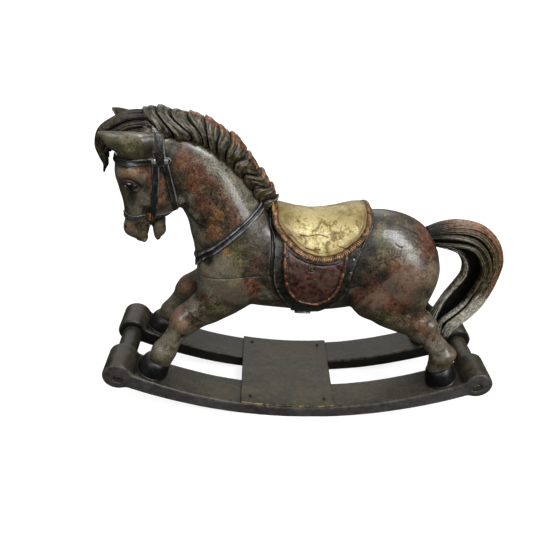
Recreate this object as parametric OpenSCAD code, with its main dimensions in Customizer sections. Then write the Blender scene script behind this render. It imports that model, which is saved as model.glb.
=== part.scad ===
/* [Rockers] */
// Length over the rolled ends
rocker_length = 400; // [392:1:404]
// Overall width, from outer face to outer face
base_width = 112; // [108:1:118]
// Radius of the arc that rolls on the floor
rocker_radius = 409; // [404:1:414]
// Width of one rocker board
board_width = 37; // [34:1:39]
// Thickness of one rocker board
board_thickness = 14; // [12:0.5:15]
// Radius of the rolled end of a rocker
drum_radius = 13.8; // [13:0.1:14.5]
// Height of the middle of a rolled end
drum_height = 48.5; // [47:0.5:50]
// Radius of the cross rods
rod_radius = 10.6; // [9:0.1:12]
// Radius of the tenon on each end of a rod
tenon_radius = 4.5; // [3.5:0.1:5.5]

/* [Footboard] */
// Length of the board along the rockers
footboard_length = 100; // [90:1:110]
// Middle of the board along the rockers
footboard_x = -11.5; // [-14:0.5:-9]
// Thickness of the board
footboard_thickness = 3; // [2:0.5:4]
// Distance of a nail from the board's edges
nail_inset = 10; // [8:0.5:14]

/* [Hooves] */
// Middle of a front hoof along the rockers
fore_hoof_x = -153; // [-155:1:-151]
// Middle of a rear hoof along the rockers
hind_hoof_x = 151; // [149:1:153]
// Radius of a hoof
hoof_radius = 15.2; // [14:0.1:16]
// Height of a hoof
hoof_height = 16; // [14:0.5:18]

/* [Horse] */
// Distance of a hoof's middle from the middle plane
track = 37.5; // [35:0.5:38]
// Thickness of the saddle cloth
cloth_thickness = 2; // [1.5:0.1:2.5]
// Thickness of a saddle flap
flap_thickness = 2.6; // [2:0.1:3]
// Thickness of the seat
seat_thickness = 4.5; // [4:0.1:5]
// Height of the roped trim above the cloth
trim_thickness = 6; // [5.5:0.1:7]
// Thickness of the bridle and breast straps
strap_thickness = 1.6; // [1.2:0.1:2]

/* [Hidden] */

left = -1;
right = 1;
fit_gap = 0.05;    // radial clearance of a glued tenon or a screw in its bore
mesh_gap = 0.2;    // radial clearance of a dowel in a carved piece
top_radius = rocker_radius - board_thickness;
track_inner = base_width / 2 - board_width;
drum_x = rocker_length / 2 - drum_radius;
buckle_thickness = 2.4;
nail_radius = 0.8;
nail_head_radius = 1.7;
nail_grip = 7.5;         // how far a nail goes into a rocker
screw_radius = 1.9;
screw_head_radius = 4.2;
screw_head_height = 1.9;
screw_grip = 8;          // how far a screw goes into a leg
screw_play = 3;          // depth left free past the screw's point
leg_dowel_radius = 3.5;
leg_dowel_length = 24;
leg_dowel_y = 23;
leg_dowel_places = [[-84, 138], [88, 142]];
neck_dowel_radius = 5;
neck_dowel_length = 44;
neck_dowel_foot = 145;
neck_dowel_places = [-88, -62];
poll_dowel_radius = 4;
poll_dowel_length = 38;
poll_dowel_place = [-131, 0, 256];
tail_peg_radius = 3;
tail_peg_length = 30;
tail_peg_start = [106, 197];
eye_place = [-162, 15.5, 247];
eye_size = [7.5, 4.5, 4];
eye_tilt = 12;
stud_length = 10;
button_radius = 2.6;
button_place = [1, 163];
rivet_radius = 1.4;
rivet_places = [[38, 182], [36, 170]];
buckle_place = [-1, -17];
buckle_frame = [18, 14];
buckle_window = [11, 7];
ring_place = [-149, 13.6, 212];

// Outer sections of the carved blocks. A row is one oval section in the middle plane or beside it:
// [x, z of one end of its long axis, x, z of the other end, half width across, y of its centre]
torso_rows = [
    [-105, 182, -100, 136, 20, 0],
    [-90, 196, -82, 118, 31, 0],
    [-62, 209, -56, 112, 36, 0],
    [-30, 213, -26, 109, 38, 0],
    [8, 213, 8, 107, 38, 0],
    [42, 217, 40, 111, 38.5, 0],
    [72, 219, 66, 120, 38.5, 0],
    [98, 213, 92, 128, 36, 0],
    [118, 200, 112, 138, 29, 0],
    [128, 182, 126, 150, 17, 0]
];
neck_rows = [
    [-100, 150, -40, 190, 31, 0],
    [-108, 172, -40, 212, 29, 0],
    [-113, 190, -52, 230, 26, 0],
    [-116, 206, -68, 253, 22, 0],
    [-123, 220, -90, 274, 19, 0],
    [-132, 232, -116, 284, 17, 0],
    [-140, 244, -136, 286, 15, 0]
];
head_rows = [
    [-160, 285, -134, 284, 12, 0],
    [-174, 270, -130, 270, 17, 0],
    [-179, 250, -128, 250, 19, 0],
    [-178, 236, -130, 232, 17, 0],
    [-176, 222, -136, 216, 13.5, 0],
    [-176, 209, -141, 206, 11, 0],
    [-176, 196, -154, 197, 11.5, 0],
    [-174, 188, -156, 189, 10, 0],
    [-168, 183, -158, 183, 6, 0]
];
jaw_rows = [
    [-152, 210, -138, 210, 9, 0],
    [-151, 196, -139, 196, 8, 0],
    [-149.5, 184, -143, 185, 6, 0]
];
fore_leg_rows = [
    [-103, 160, -58, 148, 17, -22],
    [-101, 141, -62, 122, 16, -24],
    [-113, 127, -84, 107, 13, -26.5],
    [-126, 118, -99, 101, 11.5, -29],
    [-133, 108, -110, 94, 11.5, -31],
    [-136, 98, -118, 88, 9.5, -33],
    [-143, 86, -124, 78, 8.5, -35],
    [-151, 76, -128, 68, 9.5, -36.5],
    [-156, 64, -134, 56, 10, -37.5]
];
hind_leg_rows = [
    [54, 158, 124, 172, 21, -20],
    [57, 126, 122, 142, 19, -23],
    [70, 111, 122, 128, 16, -26],
    [90, 103, 129, 122, 13, -29],
    [106, 98, 131, 113, 10.5, -31],
    [118, 92, 140, 102, 9.5, -33],
    [127, 84, 151, 91, 8.5, -35],
    [134, 75, 161, 79, 9.5, -36.5],
    [134, 58, 158, 60, 10, -37.5]
];
mane_rows = [
    [-158, 306, -146, 284, 9, 0],
    [-141, 311, -136, 280, 12, 0],
    [-121, 309, -118, 276, 13, 0],
    [-104, 306, -100, 274, 13, 0],
    [-87, 300, -88, 264, 14, 0],
    [-72, 290, -78, 254, 14, 0],
    [-58, 276, -68, 244, 13, 0],
    [-45, 259, -58, 230, 12, 0],
    [-35, 244, -50, 220, 10, 0],
    [-28, 227, -42, 214, 7, 0]
];
forelock_rows = [
    [-150, 306, -146, 288, 9, 0],
    [-168, 303, -164, 282, 10, 0],
    [-183, 296, -174, 274, 10, 0],
    [-193, 282, -181, 266, 8, 0],
    [-196, 267, -184, 258, 6, 0],
    [-194, 255, -185, 251, 4, 0],
    [-191, 246, -186, 246, 2.5, 0]
];
ear_rows = [
    [-143, 286, -143, 272, 4, -14],
    [-155, 288, -155, 268, 5, -17],
    [-168, 290, -167, 271, 4.5, -19],
    [-178, 291, -177, 277, 3, -20],
    [-186, 291, -184, 288, 1.5, -20]
];
tail_rows = [
    [118, 205, 118, 190, 8, 0],
    [133, 210, 130, 188, 10, 0],
    [148, 211, 141, 184, 11, 0],
    [164, 208, 151, 178, 12, 0],
    [180, 200, 158, 169, 12, 0],
    [191, 189, 161, 159, 12, 0],
    [198, 175, 159, 148, 12, 0],
    [199, 157, 152, 136, 12, 0],
    [195, 141, 146, 122, 11, 0],
    [188, 128, 141, 111, 11, 0],
    [179, 109, 139, 104, 10, 0],
    [169, 100, 142, 96, 8, 0],
    [165, 90, 147, 85, 7, 0],
    [165, 79, 152, 76, 5.5, 0],
    [167, 70, 161, 69, 3, 0]
];

// Side outlines of the tack, as [x, z] in the middle plane
seat_outline = [[-33, 260], [-33, 216], [-28, 201], [-18, 189], [-4, 181], [15, 178],
    [31, 182], [43, 191], [51, 204], [56, 219], [56, 260]];
seat_border = 5;
flap_outline = [[-24, 196], [-23, 166], [-18, 152], [-10, 143], [7, 137], [19, 143],
    [28, 154], [31, 170], [33, 196]];
collar_outline = [[-38, 226], [-44, 231], [-118, 172], [-112, 166]];
crownpiece_outline = [[-143, 270], [-131, 268], [-131, 310], [-143, 310]];
browband_outline = [[-190, 266], [-143, 264], [-143, 270], [-190, 272]];
cheekpiece_outline = [[-143, 264], [-137, 264], [-143, 216], [-148, 216]];
noseband_outline = [[-185, 206], [-130, 209], [-130, 215], [-185, 212]];
throatlatch_outline = [[-137, 264], [-132, 264], [-119, 215], [-125, 212]];
cloth_outline = [[-38, 240], [-38, 212], [-33, 190], [-33, 165], [-29, 149], [-20, 138],
    [-12, 128], [-12, 90], [10, 90], [12, 128], [25, 136], [36, 151], [38, 168], [42, 188],
    [52, 204], [59, 216], [59, 240]];

module lens(row, depth, grow) {
    run = row[2] - row[0];
    rise = row[3] - row[1];
    translate([(row[0] + row[2]) / 2, row[5], (row[1] + row[3]) / 2])
        rotate([0, -atan2(rise, run), 0])
            scale([norm([run, rise]) / 2 + grow, row[4] + grow, depth / 2 + grow])
                sphere(1, $fn = 20);
}

module chain(rows, depth, grow = 0) {
    for (i = [0 : len(rows) - 2])
        hull() {
            lens(rows[i], depth, grow);
            lens(rows[i + 1], depth, grow);
        }
}

module on_side(side) {
    mirror([0, side == right ? 1 : 0, 0])
        children();
}

// An outline in the X-Z plane, carried right across the horse
module across(width = 140) {
    rotate([90, 0, 0])
        linear_extrude(width, center = true)
            children();
}

module along_y(x, z, radius, length) {
    translate([x, 0, z])
        rotate([90, 0, 0])
            cylinder(r = radius, h = length, center = true, $fn = 64);
}

// Puts its children on the top face of a rocker, with Z square to that face
module on_rocker(x, side) {
    translate([0, side * track, rocker_radius])
        rotate([0, -asin(x / top_radius), 0])
            translate([0, 0, -top_radius])
                children();
}

module trunk_form(grow = 0) {
    chain(torso_rows, 14, grow);
    chain(neck_rows, 8, grow);
}

module head_form(grow = 0) {
    chain(head_rows, 8, grow);
    chain(jaw_rows, 6, grow);
}

module horse_form(grow = 0) {
    trunk_form(grow);
    head_form(grow);
}

// Everything in front of the joint between head and neck
module head_block() {
    across()
        polygon([[-300, 100], [-127, 100], [-124, 222], [-140, 310], [-300, 310]]);
}

// Everything above the stepped joint between neck and torso
module neck_block() {
    across()
        polygon([[-300, 167], [-42, 167], [-42, 400], [-300, 400]]);
}

module leg_form(rows, side, grow = 0) {
    on_side(side)
        chain(rows, 8, grow);
}

module legs_form(grow = 0) {
    for (side = [left, right]) {
        leg_form(fore_leg_rows, side, grow);
        leg_form(hind_leg_rows, side, grow);
    }
}

// Everything on one side of the middle plane
module side_half(side) {
    translate([-250, side == right ? 0 : -100, 0])
        cube([500, 100, 350]);
}

module cover(inner, outer) {
    difference() {
        trunk_form(outer);
        trunk_form(inner);
    }
}

/* ---- rockers, rods and footboard ---- */

module rocker(side) {
    difference() {
        translate([0, side * (base_width - board_width) / 2, 0])
            across(board_width)
                difference() {
                    union() {
                        intersection() {
                            translate([0, rocker_radius])
                                difference() {
                                    circle(rocker_radius, $fn = 360);
                                    circle(top_radius, $fn = 360);
                                }
                            polygon([[-drum_x, -10], [drum_x, -10], [drum_x, 90], [-drum_x, 90]]);
                        }
                        for (x = [-drum_x, drum_x])
                            translate([x, drum_height])
                                circle(drum_radius, $fn = 72);
                    }
                    for (x = [-drum_x, drum_x])
                        translate([x, drum_height])
                            circle(tenon_radius + fit_gap, $fn = 64);
                }
        for (x = [fore_hoof_x, hind_hoof_x])
            on_rocker(x, side) {
                translate([0, 0, -2 * board_thickness])
                    cylinder(r = screw_radius + fit_gap, h = 3 * board_thickness, $fn = 48);
                translate([0, 0, -2 * board_thickness])
                    cylinder(r = screw_head_radius + 2 * fit_gap,
                        h = board_thickness + 1 + screw_head_height + 2 * fit_gap, $fn = 48);
            }
        footboard_nail_places()
            translate([0, 0, -nail_grip - 0.5])
                cylinder(r = nail_radius + fit_gap, h = nail_grip + 5, $fn = 32);
    }
}

module rocker_left() {
    color("#3d3c36") rocker(left);
}

module rocker_right() {
    color("#3d3c36") rocker(right);
}

module rod(x) {
    color("#3a3934") {
        along_y(x, drum_height, rod_radius, 2 * track_inner);
        along_y(x, drum_height, tenon_radius, base_width);
    }
}

module rod_front() {
    rod(-drum_x);
}

module rod_rear() {
    rod(drum_x);
}

module footboard_nail_places() {
    half = footboard_length / 2 - nail_inset;
    for (x = [footboard_x - half, footboard_x + half])
        for (side = [left, right])
            on_rocker(x, side)
                translate([0, side * (base_width / 2 - nail_inset - track), 0])
                    children();
}

module footboard() {
    color("#3b3831") difference() {
        across(base_width)
            intersection() {
                translate([0, rocker_radius])
                    difference() {
                        circle(top_radius, $fn = 360);
                        circle(top_radius - footboard_thickness, $fn = 360);
                    }
                translate([footboard_x - footboard_length / 2, 0])
                    square([footboard_length, 40]);
            }
        footboard_nail_places()
            translate([0, 0, -footboard_thickness])
                cylinder(r = nail_radius + fit_gap, h = 4 * footboard_thickness, $fn = 32);
    }
}

module footboard_nails() {
    color("#8a8578") footboard_nail_places() {
        translate([0, 0, -nail_grip])
            cylinder(r = nail_radius, h = nail_grip + footboard_thickness + 0.5, $fn = 32);
        translate([0, 0, footboard_thickness + 0.1])
            cylinder(r = nail_head_radius, h = 0.9, $fn = 32);
    }
}

/* ---- hooves and what holds them ---- */

module hoof_form(x, side) {
    on_rocker(x, side)
        rotate_extrude($fn = 72)
            polygon([[0, -1], [hoof_radius - 2.5, -1], [hoof_radius - 1, 2], [hoof_radius, 6],
                [hoof_radius - 0.6, 10], [hoof_radius - 2.6, 12.4], [hoof_radius - 3.2, 12.6],
                [hoof_radius - 3.6, hoof_height - 1], [hoof_radius - 4.6, hoof_height],
                [0, hoof_height]]);
}

module hoof(x, side) {
    color("#1b1a1a") difference() {
        intersection() {
            hoof_form(x, side);
            translate([0, 0, rocker_radius])
                rotate([90, 0, 0])
                    cylinder(r = top_radius, h = 140, center = true, $fn = 360);
        }
        on_rocker(x, side)
            translate([0, 0, -4])
                cylinder(r = screw_radius + fit_gap, h = hoof_height + 8, $fn = 48);
    }
}

module hoof_fore_left() {
    hoof(fore_hoof_x, left);
}

module hoof_fore_right() {
    hoof(fore_hoof_x, right);
}

module hoof_hind_left() {
    hoof(hind_hoof_x, left);
}

module hoof_hind_right() {
    hoof(hind_hoof_x, right);
}

module hoof_screw(x, side) {
    on_rocker(x, side) {
        translate([0, 0, -board_thickness + 2])
            cylinder(r = screw_radius, h = board_thickness - 2 + hoof_height + screw_grip, $fn = 48);
        translate([0, 0, -board_thickness + 1])
            cylinder(r = screw_head_radius, h = screw_head_height, $fn = 48);
    }
}

module hoof_screws() {
    color("#8d8a84")
        for (x = [fore_hoof_x, hind_hoof_x])
            for (side = [left, right])
                hoof_screw(x, side);
}

/* ---- legs ---- */

module leg_dowel_set(gap = 0) {
    for (side = [left, right])
        for (place = leg_dowel_places)
            translate([place[0], side * leg_dowel_y, place[1]])
                rotate([90, 0, 0])
                    cylinder(r = leg_dowel_radius + gap, h = leg_dowel_length + 2 * gap,
                        center = true, $fn = 48);
}

module leg(rows, x, side) {
    color("#7d6e5e") difference() {
        leg_form(rows, side);
        trunk_form();
        hoof_form(x, side);
        leg_dowel_set(mesh_gap);
        on_rocker(x, side)
            cylinder(r = screw_radius + mesh_gap, h = hoof_height + screw_grip + screw_play, $fn = 24);
    }
}

module leg_fore_left() {
    leg(fore_leg_rows, fore_hoof_x, left);
}

module leg_fore_right() {
    leg(fore_leg_rows, fore_hoof_x, right);
}

module leg_hind_left() {
    leg(hind_leg_rows, hind_hoof_x, left);
}

module leg_hind_right() {
    leg(hind_leg_rows, hind_hoof_x, right);
}

module leg_dowels() {
    color("#b08d5f") leg_dowel_set();
}

/* ---- torso, neck and head ---- */

module neck_dowel_set(gap = 0) {
    for (x = neck_dowel_places)
        translate([x, 0, neck_dowel_foot - gap])
            cylinder(r = neck_dowel_radius + gap, h = neck_dowel_length + 2 * gap, $fn = 48);
    translate(poll_dowel_place)
        rotate([0, 90, 0])
            cylinder(r = poll_dowel_radius + gap, h = poll_dowel_length + 2 * gap,
                center = true, $fn = 48);
}

module tail_peg(gap = 0) {
    translate([tail_peg_start[0] - gap, 0, tail_peg_start[1]])
        rotate([0, 90, 0])
            cylinder(r = tail_peg_radius + gap, h = tail_peg_length + 2 * gap, $fn = 48);
}

module torso() {
    color("#6f5f4d") difference() {
        trunk_form();
        neck_block();
        neck_dowel_set(mesh_gap);
        leg_dowel_set(mesh_gap);
        tail_peg(mesh_gap);
    }
}

module neck() {
    color("#74604c") difference() {
        intersection() {
            trunk_form();
            neck_block();
        }
        head_block();
        neck_dowel_set(mesh_gap);
    }
}

module head() {
    color("#6a6252") difference() {
        intersection() {
            union() {
                head_form();
                chain(neck_rows, 8);
            }
            head_block();
        }
        neck_dowel_set(mesh_gap);
    }
}

module neck_dowels() {
    color("#b08d5f") neck_dowel_set();
}

module ear(side) {
    color("#6b6a55") difference() {
        on_side(side)
            chain(ear_rows, 4);
        horse_form(strap_thickness);
        chain(forelock_rows, 6);
        chain(mane_rows, 8);
        crownpiece_form();
    }
}

module ear_left() {
    ear(left);
}

module ear_right() {
    ear(right);
}

module eyes() {
    color("#1c1512") difference() {
        for (side = [left, right])
            translate([eye_place[0], side * eye_place[1], eye_place[2]])
                rotate([0, eye_tilt, 0])
                    scale(eye_size)
                        sphere(1, $fn = 20);
        horse_form();
    }
}

/* ---- hair ---- */

module mane() {
    color("#4a3f2d") difference() {
        chain(mane_rows, 8);
        horse_form();
        crownpiece_form();
        collar_form();
        cover_region();
    }
}

module forelock() {
    color("#4a3f2d") difference() {
        chain(forelock_rows, 6);
        chain(mane_rows, 8);
        horse_form();
        crownpiece_form();
        browband_form();
    }
}

module tail() {
    color("#5a4c33") difference() {
        chain(tail_rows, 8);
        trunk_form();
        legs_form();
        tail_peg(mesh_gap);
    }
}

module tail_dowel() {
    color("#b08d5f") tail_peg();
}

/* ---- saddle ---- */

module cover_region() {
    across()
        polygon(cloth_outline);
}

module saddle_cloth() {
    color("#2b2a24") difference() {
        intersection() {
            cover(0, cloth_thickness);
            cover_region();
        }
        legs_form();
    }
}

module flap_form(side) {
    intersection() {
        cover(cloth_thickness, cloth_thickness + flap_thickness);
        across()
            polygon(flap_outline);
        side_half(side);
    }
}

module flap(side) {
    color("#5d2a2c") difference() {
        flap_form(side);
        across()
            polygon(seat_outline);
        legs_form();
    }
}

module flap_left() {
    flap(left);
}

module flap_right() {
    flap(right);
}

module seat() {
    color("#c2a25a") intersection() {
        cover(cloth_thickness, cloth_thickness + seat_thickness);
        across()
            offset(delta = -seat_border)
                polygon(seat_outline);
    }
}

module seat_trim() {
    color("#8a5a34") intersection() {
        cover(cloth_thickness, cloth_thickness + trim_thickness);
        across()
            difference() {
                polygon(seat_outline);
                offset(delta = -seat_border)
                    polygon(seat_outline);
            }
    }
}

module flap_buttons() {
    color("#a08a5a") difference() {
        for (side = [left, right])
            translate([button_place[0], side * 40, button_place[1]])
                rotate([90, 0, 0])
                    cylinder(r = button_radius, h = stud_length, center = true, $fn = 24);
        trunk_form(cloth_thickness + flap_thickness);
    }
}

module cloth_rivets() {
    color("#a08a5a") difference() {
        for (side = [left, right])
            for (place = rivet_places)
                translate([place[0], side * 38, place[1]])
                    rotate([90, 0, 0])
                        cylinder(r = rivet_radius, h = stud_length, center = true, $fn = 16);
        trunk_form(cloth_thickness);
    }
}

module girth_buckle() {
    color("#5b5548") intersection() {
        cover(cloth_thickness, cloth_thickness + buckle_thickness);
        translate([buckle_place[0], buckle_place[1], 90])
            linear_extrude(40)
                difference() {
                    square(buckle_frame, center = true);
                    square(buckle_window, center = true);
                }
    }
}

/* ---- straps ---- */

module collar_form() {
    intersection() {
        trunk_form(strap_thickness);
        across()
            polygon(collar_outline);
    }
}

module breast_collar() {
    color("#2a2826") difference() {
        collar_form();
        trunk_form();
        cover_region();
    }
}

module crownpiece_form() {
    intersection() {
        horse_form(strap_thickness);
        across()
            polygon(crownpiece_outline);
    }
}

module crownpiece() {
    color("#242220") difference() {
        crownpiece_form();
        horse_form();
    }
}

module browband_form() {
    intersection() {
        horse_form(strap_thickness);
        across()
            polygon(browband_outline);
    }
}

module browband() {
    color("#242220") difference() {
        browband_form();
        horse_form();
    }
}

module cheekpiece(side) {
    color("#242220") difference() {
        intersection() {
            horse_form(strap_thickness);
            across()
                polygon(cheekpiece_outline);
            side_half(side);
        }
        horse_form();
    }
}

module cheekpiece_left() {
    cheekpiece(left);
}

module cheekpiece_right() {
    cheekpiece(right);
}

module noseband() {
    color("#3a3732") difference() {
        intersection() {
            horse_form(strap_thickness);
            across()
                polygon(noseband_outline);
        }
        horse_form();
    }
}

module throatlatch() {
    color("#242220") difference() {
        intersection() {
            horse_form(strap_thickness);
            across()
                polygon(throatlatch_outline);
        }
        horse_form();
        crownpiece_form();
    }
}

module bit_rings() {
    color("#9a6b45")
        for (side = [left, right])
            translate([ring_place[0], side * ring_place[1], ring_place[2]])
                rotate([90, 0, 0])
                    rotate_extrude($fn = 48)
                        translate([3.2, 0])
                            circle(1, $fn = 24);
}

rocker_left();
rocker_right();
rod_front();
rod_rear();
footboard();
footboard_nails();
hoof_fore_left();
hoof_fore_right();
hoof_hind_left();
hoof_hind_right();
hoof_screws();
leg_fore_left();
leg_fore_right();
leg_hind_left();
leg_hind_right();
leg_dowels();
torso();
neck();
head();
neck_dowels();
ear_left();
ear_right();
eyes();
mane();
forelock();
tail();
tail_dowel();
saddle_cloth();
cloth_rivets();
girth_buckle();
flap_left();
flap_right();
flap_buttons();
seat();
seat_trim();
breast_collar();
crownpiece();
browband();
cheekpiece_left();
cheekpiece_right();
noseband();
throatlatch();
bit_rings();
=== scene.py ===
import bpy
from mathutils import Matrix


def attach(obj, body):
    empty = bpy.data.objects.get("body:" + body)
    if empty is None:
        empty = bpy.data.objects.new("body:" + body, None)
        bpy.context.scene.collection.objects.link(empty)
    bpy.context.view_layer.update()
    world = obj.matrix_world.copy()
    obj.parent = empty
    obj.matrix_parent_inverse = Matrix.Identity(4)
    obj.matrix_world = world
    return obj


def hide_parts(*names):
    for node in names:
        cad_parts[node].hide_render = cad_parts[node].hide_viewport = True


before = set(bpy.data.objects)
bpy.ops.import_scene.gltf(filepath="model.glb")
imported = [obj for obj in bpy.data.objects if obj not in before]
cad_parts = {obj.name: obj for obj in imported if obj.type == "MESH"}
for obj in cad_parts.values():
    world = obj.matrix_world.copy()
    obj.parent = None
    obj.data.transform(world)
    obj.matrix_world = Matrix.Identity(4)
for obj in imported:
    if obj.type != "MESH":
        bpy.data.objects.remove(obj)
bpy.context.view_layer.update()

import math

import bpy
import numpy as np
import openvdb
from mathutils import Matrix, Vector

# Everything is modelled in millimetres in the frame's axes and turned into metres by add_piece:
# the horse faces -X, its left side is -Y, and +Z is up.
MM = 0.001
BODY_STEP = 0.9
HEAD_STEP = 0.5
TACK_STEP = 0.45


# ---------------------------------------------------------------- fields

class Grid:
    """A block of evenly spaced points, in millimetres, that signed distances are sampled on."""

    def __init__(self, low, high, step):
        self.step = step
        self.first = [int(math.floor(v / step)) for v in low]
        last = [int(math.ceil(v / step)) for v in high]
        self.shape = tuple(b - a + 1 for a, b in zip(self.first, last))
        axes = [(np.arange(n) + f).astype(np.float32) * step for n, f in zip(self.shape, self.first)]
        self.x = axes[0][:, None, None]
        self.y = axes[1][None, :, None]
        self.z = axes[2][None, None, :]

    def window(self, low, high):
        """Slices of the grid between two corners, or None where they miss it."""
        out = []
        for a, b, f, n in zip(low, high, self.first, self.shape):
            i = max(0, int(math.floor(a / self.step)) - f)
            j = min(n, int(math.ceil(b / self.step)) - f + 1)
            if j <= i:
                return None
            out.append(slice(i, j))
        return tuple(out)

    def level_set(self, points, quads, reach):
        """Signed distance to a closed mesh, true within reach of its surface and held at reach beyond."""
        transform = openvdb.createLinearTransform(voxelSize=self.step)
        grid = openvdb.FloatGrid.createLevelSetFromPolygons(
            np.ascontiguousarray(points, dtype=np.float32),
            quads=np.ascontiguousarray(quads, dtype=np.uint32),
            transform=transform, halfWidth=reach / self.step)
        field = np.empty(self.shape, np.float32)
        grid.copyToArray(field, ijk=tuple(self.first))
        return field

    def mesh(self, field):
        """The zero surface of a field as points and quads that face outwards."""
        grid = openvdb.FloatGrid()
        padded = np.full([n + 2 for n in self.shape], 9.0, np.float32)
        padded[1:-1, 1:-1, 1:-1] = np.minimum(field, 9.0)
        grid.copyFromArray(padded, tolerance=0)
        points, quads = grid.convertToQuads(0.0)
        return (points - 1 + np.array(self.first)) * self.step, quads[:, ::-1]

    def sample(self, field, points):
        """The field at any points, by trilinear interpolation."""
        at = np.asarray(points, float) / self.step - np.array(self.first)
        at = np.clip(at, 0, np.array(self.shape) - 1.001)
        low = at.astype(int)
        part = at - low
        out = 0
        for corner in np.ndindex(2, 2, 2):
            weight = np.prod([part[..., k] if c else 1 - part[..., k] for k, c in enumerate(corner)], axis=0)
            out = out + weight * field[tuple(low[..., k] + c for k, c in enumerate(corner))]
        return out


def blend(a, b, k):
    """Smooth union: the smaller distance, with a fillet about k wide near the surface."""
    least = np.minimum(a, b)
    h = np.maximum(k - np.abs(a - b), 0) / k * np.clip(2 - least / 6, 0, 1)
    return least - h * h * k * 0.25


def carve(a, b, k):
    """Smooth difference: a without b."""
    return -blend(-a, b, k)


def overlap(a, b, k):
    """Smooth intersection."""
    return -blend(-a, -b, k)


def ease(value):
    """0 to 1, eased at both ends, over values of 0 to 1."""
    value = np.clip(value, 0, 1)
    return value * value * (3 - 2 * value)


class Sculpt:
    """A field with tools that add and cut shapes on both sides of the middle plane at once."""

    def __init__(self, grid, field):
        self.grid = grid
        self.field = field

    def _apply(self, low, high, k, shape, cut, mirrored):
        margin = k + 2 * self.grid.step
        for side in ((-1, 1) if mirrored else (1,)):
            y0, y1 = sorted((side * (low[1] - margin), side * (high[1] + margin)))
            where = self.grid.window((low[0] - margin, y0, low[2] - margin),
                                     (high[0] + margin, y1, high[2] + margin))
            if where is None:
                continue
            x = self.grid.x[where[0]]
            y = self.grid.y[:, where[1]] * side
            z = self.grid.z[:, :, where[2]]
            old = self.field[where]
            new = shape(x, y, z)
            self.field[where] = carve(old, new, k) if cut else blend(old, new, k)

    def ball(self, centre, radii, k, tilt=0.0, cut=False, mirrored=True):
        """An ellipsoid, tilted in the X-Z plane."""
        c, s = math.cos(math.radians(tilt)), math.sin(math.radians(tilt))
        a, b, d = radii

        def shape(x, y, z):
            u = (x - centre[0]) * c + (z - centre[2]) * s
            w = -(x - centre[0]) * s + (z - centre[2]) * c
            v = y - centre[1]
            k0 = np.sqrt((u / a) ** 2 + (v / b) ** 2 + (w / d) ** 2) + 1e-6
            k1 = np.sqrt((u / a ** 2) ** 2 + (v / b ** 2) ** 2 + (w / d ** 2) ** 2) + 1e-6
            return k0 * (k0 - 1) / k1

        span = max(a, d)
        self._apply((centre[0] - span, centre[1] - b, centre[2] - span),
                    (centre[0] + span, centre[1] + b, centre[2] + span), k, shape, cut, mirrored)

    def rod(self, ends, radii, k, cut=False, mirrored=True):
        """A rod with round ends whose radius runs from one end's to the other's, along a chain of points."""
        radii = np.interp(np.linspace(0, 1, len(ends)), np.linspace(0, 1, len(radii)), radii)

        def shape(x, y, z):
            out = None
            for p, q, r0, r1 in zip(ends, ends[1:], radii, radii[1:]):
                d = [b - a for a, b in zip(p, q)]
                n = sum(v * v for v in d) + 1e-9
                t = np.clip(((x - p[0]) * d[0] + (y - p[1]) * d[1] + (z - p[2]) * d[2]) / n, 0, 1)
                far = np.sqrt((x - p[0] - t * d[0]) ** 2 + (y - p[1] - t * d[1]) ** 2
                              + (z - p[2] - t * d[2]) ** 2) - (r0 + t * (r1 - r0))
                out = far if out is None else np.minimum(out, far)
            return out

        e = np.array(ends, float)
        r = max(radii)
        self._apply(e.min(0) - r, e.max(0) + r, k, shape, cut, mirrored)


# ---------------------------------------------------------------- meshes

def spline(rows, per):
    """A smooth curve through rows of numbers, with per steps between each two."""
    rows = np.array(rows, float)
    ext = np.vstack([2 * rows[0] - rows[1], rows, 2 * rows[-1] - rows[-2]])
    out = []
    for p0, p1, p2, p3 in zip(ext, ext[1:], ext[2:], ext[3:]):
        for t in np.arange(per) / per:
            out.append(0.5 * (2 * p1 + (p2 - p0) * t + (2 * p0 - 5 * p1 + 4 * p2 - p3) * t * t
                              + (3 * p1 - p0 - 3 * p2 + p3) * t ** 3))
    out.append(rows[-1])
    return np.array(out)


def tube_quads(rings, sides, closed=False):
    """Faces between the rings of a tube, without its ends."""
    quads = []
    count = rings if closed else rings - 1
    for i in range(count):
        a, b = i * sides, (i + 1) % rings * sides
        for j in range(sides):
            k = (j + 1) % sides
            quads.append((a + j, a + k, b + k, b + j))
    return quads


def capped(points, push=(0, 0)):
    """A tube of rings of points, closed with a fan at each end whose middle is pushed by a vector."""
    rings, sides = points.shape[:2]
    quads = tube_quads(rings, sides)
    tips = (rings * sides, rings * sides + 1)
    last = (rings - 1) * sides
    for j in range(0, sides, 2):
        k, m = (j + 1) % sides, (j + 2) % sides
        quads.append((tips[0], m, k, j))
        quads.append((tips[1], last + j, last + k, last + m))
    middles = [points[0].mean(0) + push[0], points[-1].mean(0) + push[1]]
    return np.vstack([points.reshape(-1, 3), *middles]), np.array(quads)


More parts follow.
